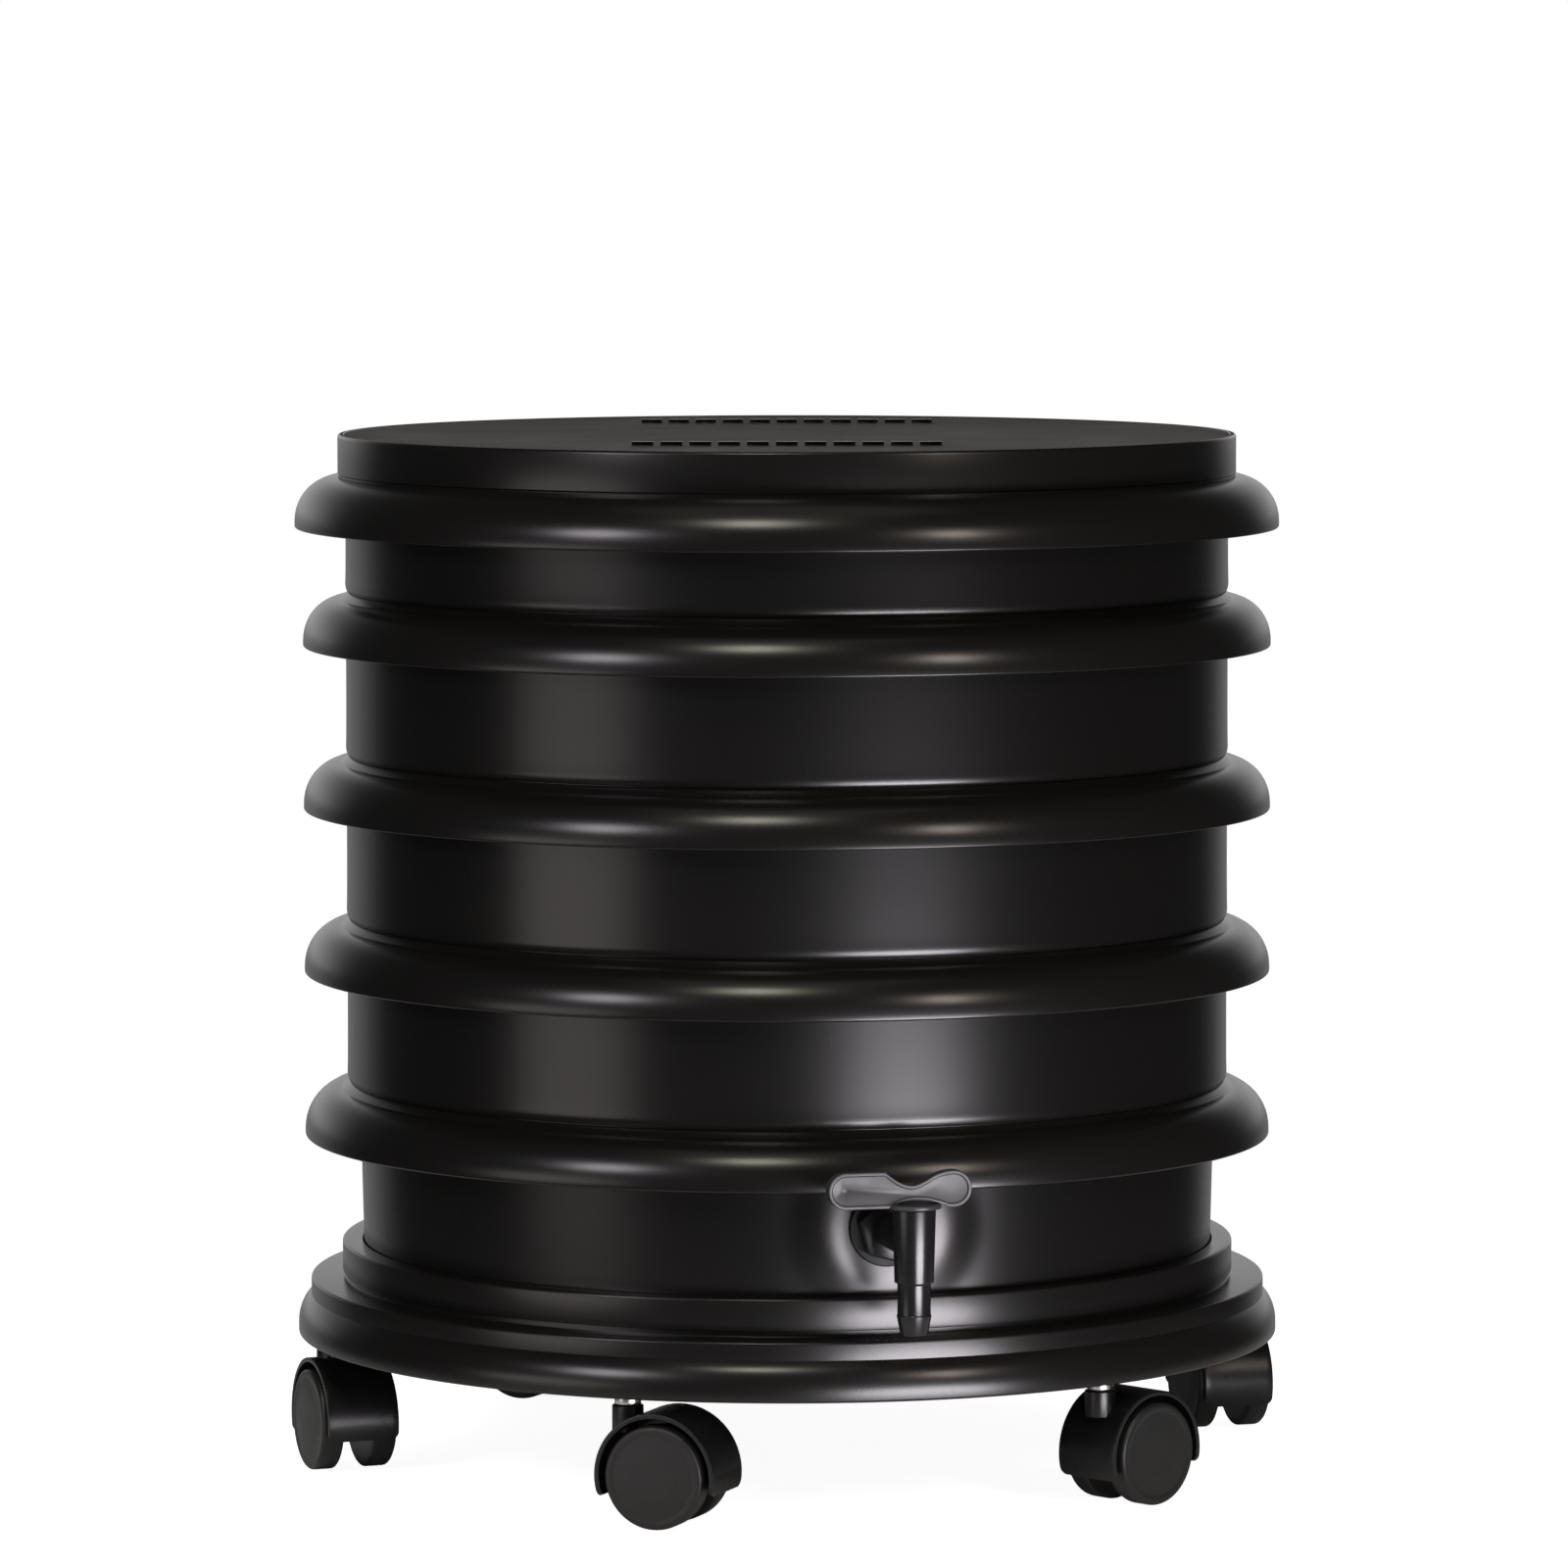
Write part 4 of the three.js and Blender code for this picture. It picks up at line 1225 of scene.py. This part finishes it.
def makeFender(centre):
    # the hood's curved sheet: rounded corners, then a wall and rounded edges
    steps, across = caster["hoodSteps"], 12
    radius, half, corner = caster["hoodOuter"], caster["hoodHalf"], caster["hoodCorner"]
    first, last = hoodEnds(radius)
    length = radius * (last - first)
    shape = bmesh.new()
    rows = []
    for i in range(steps + 1):
        run = length * (1 - cos(pi * i / steps)) / 2
        edge = min(run, length - run)
        narrow = 0
        if edge < corner:
            narrow = corner - (corner ** 2 - (corner - edge) ** 2) ** 0.5
        angle = first + run / radius
        wide = half - narrow
        rows.append([shape.verts.new((centre.x + radius * cos(angle), wide * (2 * j / across - 1),
                                      centre.z + radius * sin(angle))) for j in range(across + 1)])
    bridge(shape, rows, closed=False)
    bmesh.ops.recalc_face_normals(shape, faces=shape.faces)
    middle = shape.faces[len(shape.faces) // 2]
    if middle.normal.dot(middle.calc_center_median() - centre) < 0:
        bmesh.ops.reverse_faces(shape, faces=shape.faces)
    piece = fromShape("fender", shape, hoodNylon)
    wall = piece.modifiers.new("wall", "SOLIDIFY")
    wall.thickness = caster["hoodOuter"] - caster["hoodInner"]
    wall.offset = -1
    addBevel(piece, fillet["soft"], 3, 60)
    return faceOut(settle(piece))


def makeHood(label):
    place, centre, neckTop = casterFrame(label)
    fender = makeFender(centre)
    steps, half = caster["webSteps"], caster["web"] / 2
    webRadius = caster["hoodInner"] + caster["webLap"]
    first, last = hoodEnds(webRadius)
    turns = [first + (last - first) * k / steps for k in range(steps + 1)]
    webOutline = [(webRadius * cos(a), webRadius * sin(a)) for a in turns]
    web = extruded("web", webOutline, -half, half, hoodNylon, fillet["soft"])
    moved(web, Matrix.Translation(centre) @ onAxle)
    neck = spin("neck", [
        (caster["stem"] + caster["gap"], neckTop - caster["stemGrip"], 0),
        (caster["stem"] + caster["gap"], neckTop, fillet["crisp"]),
        (caster["neck"], neckTop, fillet["mild"]),
        (caster["neck"], caster["neckFoot"], fillet["light"]),
        (0, caster["neckFoot"], 0),
        (0, neckTop - caster["stemGrip"], 0),
    ], hoodNylon, 48)
    bossHalf = caster["wheelGap"] / 2 - caster["gap"]
    boss = spin("boss", [
        (caster["axle"] + caster["gap"], -bossHalf, fillet["trimmed"]),
        (caster["boss"], -bossHalf, fillet["light"]),
        (caster["boss"], bossHalf, fillet["light"]),
        (caster["axle"] + caster["gap"], bossHalf, fillet["trimmed"]),
    ], hoodNylon, 40)
    moved(boss, Matrix.Translation(centre) @ onAxle)
    piece = joined(fender, web, neck, boss)
    piece.name = label + "_hood_moulding"
    return finished(moved(piece, place), label, "caster", label + "_hood")


def makeWheel(label, side):
    place, centre = casterFrame(label)[:2]
    inner = caster["wheelGap"] / 2
    outer = inner + caster["wheelWidth"]
    radius, rise = caster["wheel"], caster["faceRise"]
    bore = caster["axle"] + caster["gap"]
    wheel = spin(f"{label}_wheel_{side}_moulding", [
        (bore, inner, fillet["crisp"]),
        (radius - caster["backRim"], inner, 0),
        (radius, inner, caster["backEdge"]),
        (radius, outer - rise, caster["wheelRounding"]),
        (radius - caster["treadLip"], outer - rise, fillet["light"]),
        (radius - caster["faceInset"], outer - rise - caster["faceStep"], fillet["soft"]),
        (radius * caster["crownShare"], outer, caster["crownFillet"]),
        (0, outer, 0),
        (0, outer - caster["faceWall"], 0),
        (bore, outer - caster["faceWall"], 0),
    ], wheelNylon, 96)
    turn = onAxle.inverted() if side == "a" else onAxle
    moved(wheel, place @ Matrix.Translation(centre) @ turn)
    return finished(wheel, f"{label}_wheel_{side}", "caster", f"{label}_wheel_{side}")


def makeAxle(label):
    place, centre = casterFrame(label)[:2]
    half = caster["wheelGap"] / 2 + caster["wheelWidth"] - caster["faceWall"] - caster["gap"]
    axle = spin(label + "_axle_pin", [
        (0, -half, 0),
        (caster["axle"], -half, fillet["light"]),
        (caster["axle"], half, fillet["light"]),
        (0, half, 0),
    ], platedSteel, 32)
    moved(axle, place @ Matrix.Translation(centre) @ onAxle)
    return finished(axle, label, "steel", label + "_axle")


def makeStem(label):
    place, _, neckTop = casterFrame(label)
    low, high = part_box(label + "_stem")
    collarFoot = neckTop + caster["gap"]
    collarTop = collarFoot + caster["collarHeight"]
    stem = spin(label + "_stem_pin", [
        (0, low.z, 0),
        (caster["stem"], low.z, fillet["fine"]),
        (caster["stem"], collarFoot, fillet["trimmed"]),
        (caster["collar"], collarFoot, fillet["mild"]),
        (caster["collar"], collarTop, fillet["mild"]),
        (caster["stem"], collarTop, fillet["trimmed"]),
        (caster["stem"], high.z, fillet["soft"]),
        (0, high.z, 0),
    ], platedSteel, 40)
    return finished(moved(stem, place), "plinth", "steel", label + "_stem")


for number in range(1, plinth["casters"] + 1):
    label = f"caster_{number}"
    makeHood(label)
    makeWheel(label, "a")
    makeWheel(label, "b")
    makeAxle(label)
    makeStem(label)
print("casters made")


# Floor and light
studio = {
    "floorRadius": 0.55,
    "floorColour": "#e8e8e8",
    "floorRoughness": 0.9,
    "floorGlow": 0.925,
    "ambient": 0.42,
    "darkRoom": 0.02,
    "backdropMiddle": (-0.1, 0.995, 0),
    "backdropEdge": {"From Min": 0.68, "From Max": 0.93},
    "horizon": {"From Min": -0.06, "From Max": 0.06, "To Min": 0.36, "To Max": 0.9},
    "overhead": {"From Min": 0.08, "From Max": 0.5, "To Min": 1, "To Max": 0.1},
}
white = (1, 1, 1, 1)


def seenByCamera(tree, paths):
    # 1 on what the camera sees, straight or through something clear
    return addNode(tree, mathNode, {"operation": "MAXIMUM"}, {
        0: paths.outputs["Is Camera Ray"], 1: paths.outputs["Is Transmission Ray"]})


def makeFloor():
    # pale painted board: white to the camera but for the shadow that the part leaves on it
    material, tree, shader = newMaterial("paintedBoard")
    seen = seenByCamera(tree, addNode(tree, "ShaderNodeLightPath"))
    glow = addNode(tree, mathNode, times, {0: seen, 1: studio["floorGlow"]})
    setInputs(tree, shader, {
        "Base Color": linearColour(studio["floorColour"]), "Roughness": studio["floorRoughness"],
        "Emission Color": white, "Emission Strength": glow})
    shape = bmesh.new()
    bmesh.ops.create_circle(shape, cap_ends=True, segments=128, radius=studio["floorRadius"])
    floor = fromShape("floor", shape, material)


def makeWorld():
    # white to the camera and even to matt surfaces; reflections see a pale backdrop behind the part,
    # darker below the horizon and overhead, and a dim room elsewhere
    world = bpy.data.worlds.new("studio")
    world.use_nodes = True
    scene.world = world
    tree = world.node_tree
    direction = addNode(tree, "ShaderNodeTexCoord").outputs["Generated"]
    height = addNode(tree, "ShaderNodeSeparateXYZ", None, {0: direction}).outputs["Z"]
    facing = addNode(tree, "ShaderNodeVectorMath", {"operation": "DOT_PRODUCT"}, {
        0: direction, 1: studio["backdropMiddle"]}).outputs["Value"]
    behind, rise, fall = (
        addNode(tree, rangeNode, {"interpolation_type": "SMOOTHSTEP"}, {"Value": value, **studio[name]})
        for value, name in ((facing, "backdropEdge"), (height, "horizon"), (height, "overhead")))
    screen = addNode(tree, mathNode, times, {0: rise, 1: fall})
    room = addNode(tree, "ShaderNodeMix", {"data_type": "FLOAT"}, {
        0: behind, 2: studio["darkRoom"], 3: screen})
    paths = addNode(tree, "ShaderNodeLightPath")
    glossy = addNode(tree, "ShaderNodeMix", {"data_type": "FLOAT"}, {
        0: paths.outputs["Is Glossy Ray"], 2: studio["ambient"], 3: room})
    strength = addNode(tree, "ShaderNodeMix", {"data_type": "FLOAT"}, {
        0: seenByCamera(tree, paths), 2: glossy, 3: 1})
    setInputs(tree, tree.nodes["Background"], {"Color": white, "Strength": strength})


lamps = [
    {"name": "leftLowSoftbox", "azimuth": -54, "elevation": -5, "width": 34, "height": 12,
     "radiance": 2.0, "colour": "#fff6f2"},
    {"name": "leftSoftbox", "azimuth": -43, "elevation": 22, "width": 15, "height": 15,
     "radiance": 12, "colour": "#fdf6ff"},
    {"name": "middleSoftbox", "azimuth": -9, "elevation": 49, "width": 11, "height": 14,
     "radiance": 15, "colour": "#fffbe8"},
    {"name": "rightSoftbox", "azimuth": 37.5, "elevation": 22, "width": 7, "height": 15,
     "radiance": 17, "colour": "#fff0e4"},
    {"name": "rightLowSoftbox", "azimuth": 28, "elevation": -18, "width": 30, "height": 13,
     "radiance": 24, "colour": "#fdf8ff", "distance": 1.2},
    {"name": "topSoftbox", "azimuth": 0, "elevation": 80, "width": 40, "height": 40,
     "radiance": 0.25, "colour": "#ffffff"},
]
lampDistance = 2.5
lampAim = Vector((0, 0, 0.3))


def makeSoftbox(lamp):
    # an oval lamp that faces the drum; angles in degrees, from the front to the right
    light = bpy.data.lights.new(lamp["name"], "AREA")
    light.shape = "ELLIPSE"
    distance = lamp.get("distance", lampDistance)
    light.size = 2 * distance * tan(radians(lamp["width"] / 2))
    light.size_y = 2 * distance * tan(radians(lamp["height"] / 2))
    light.energy = lamp["radiance"] * pi * light.size * light.size_y * pi / 4
    light.color = linearColour(lamp["colour"])[:3]
    a, e = radians(lamp["azimuth"]), radians(lamp["elevation"])
    away = Vector((sin(a) * cos(e), -cos(a) * cos(e), sin(e)))
    holder = newObject(lamp["name"], light)
    holder.location = lampAim + away * distance
    holder.rotation_euler = away.to_track_quat("Z", "Y").to_euler()


makeFloor()
makeWorld()
for lamp in lamps:
    makeSoftbox(lamp)
scene.view_settings.view_transform = "Standard"
print("studio made")
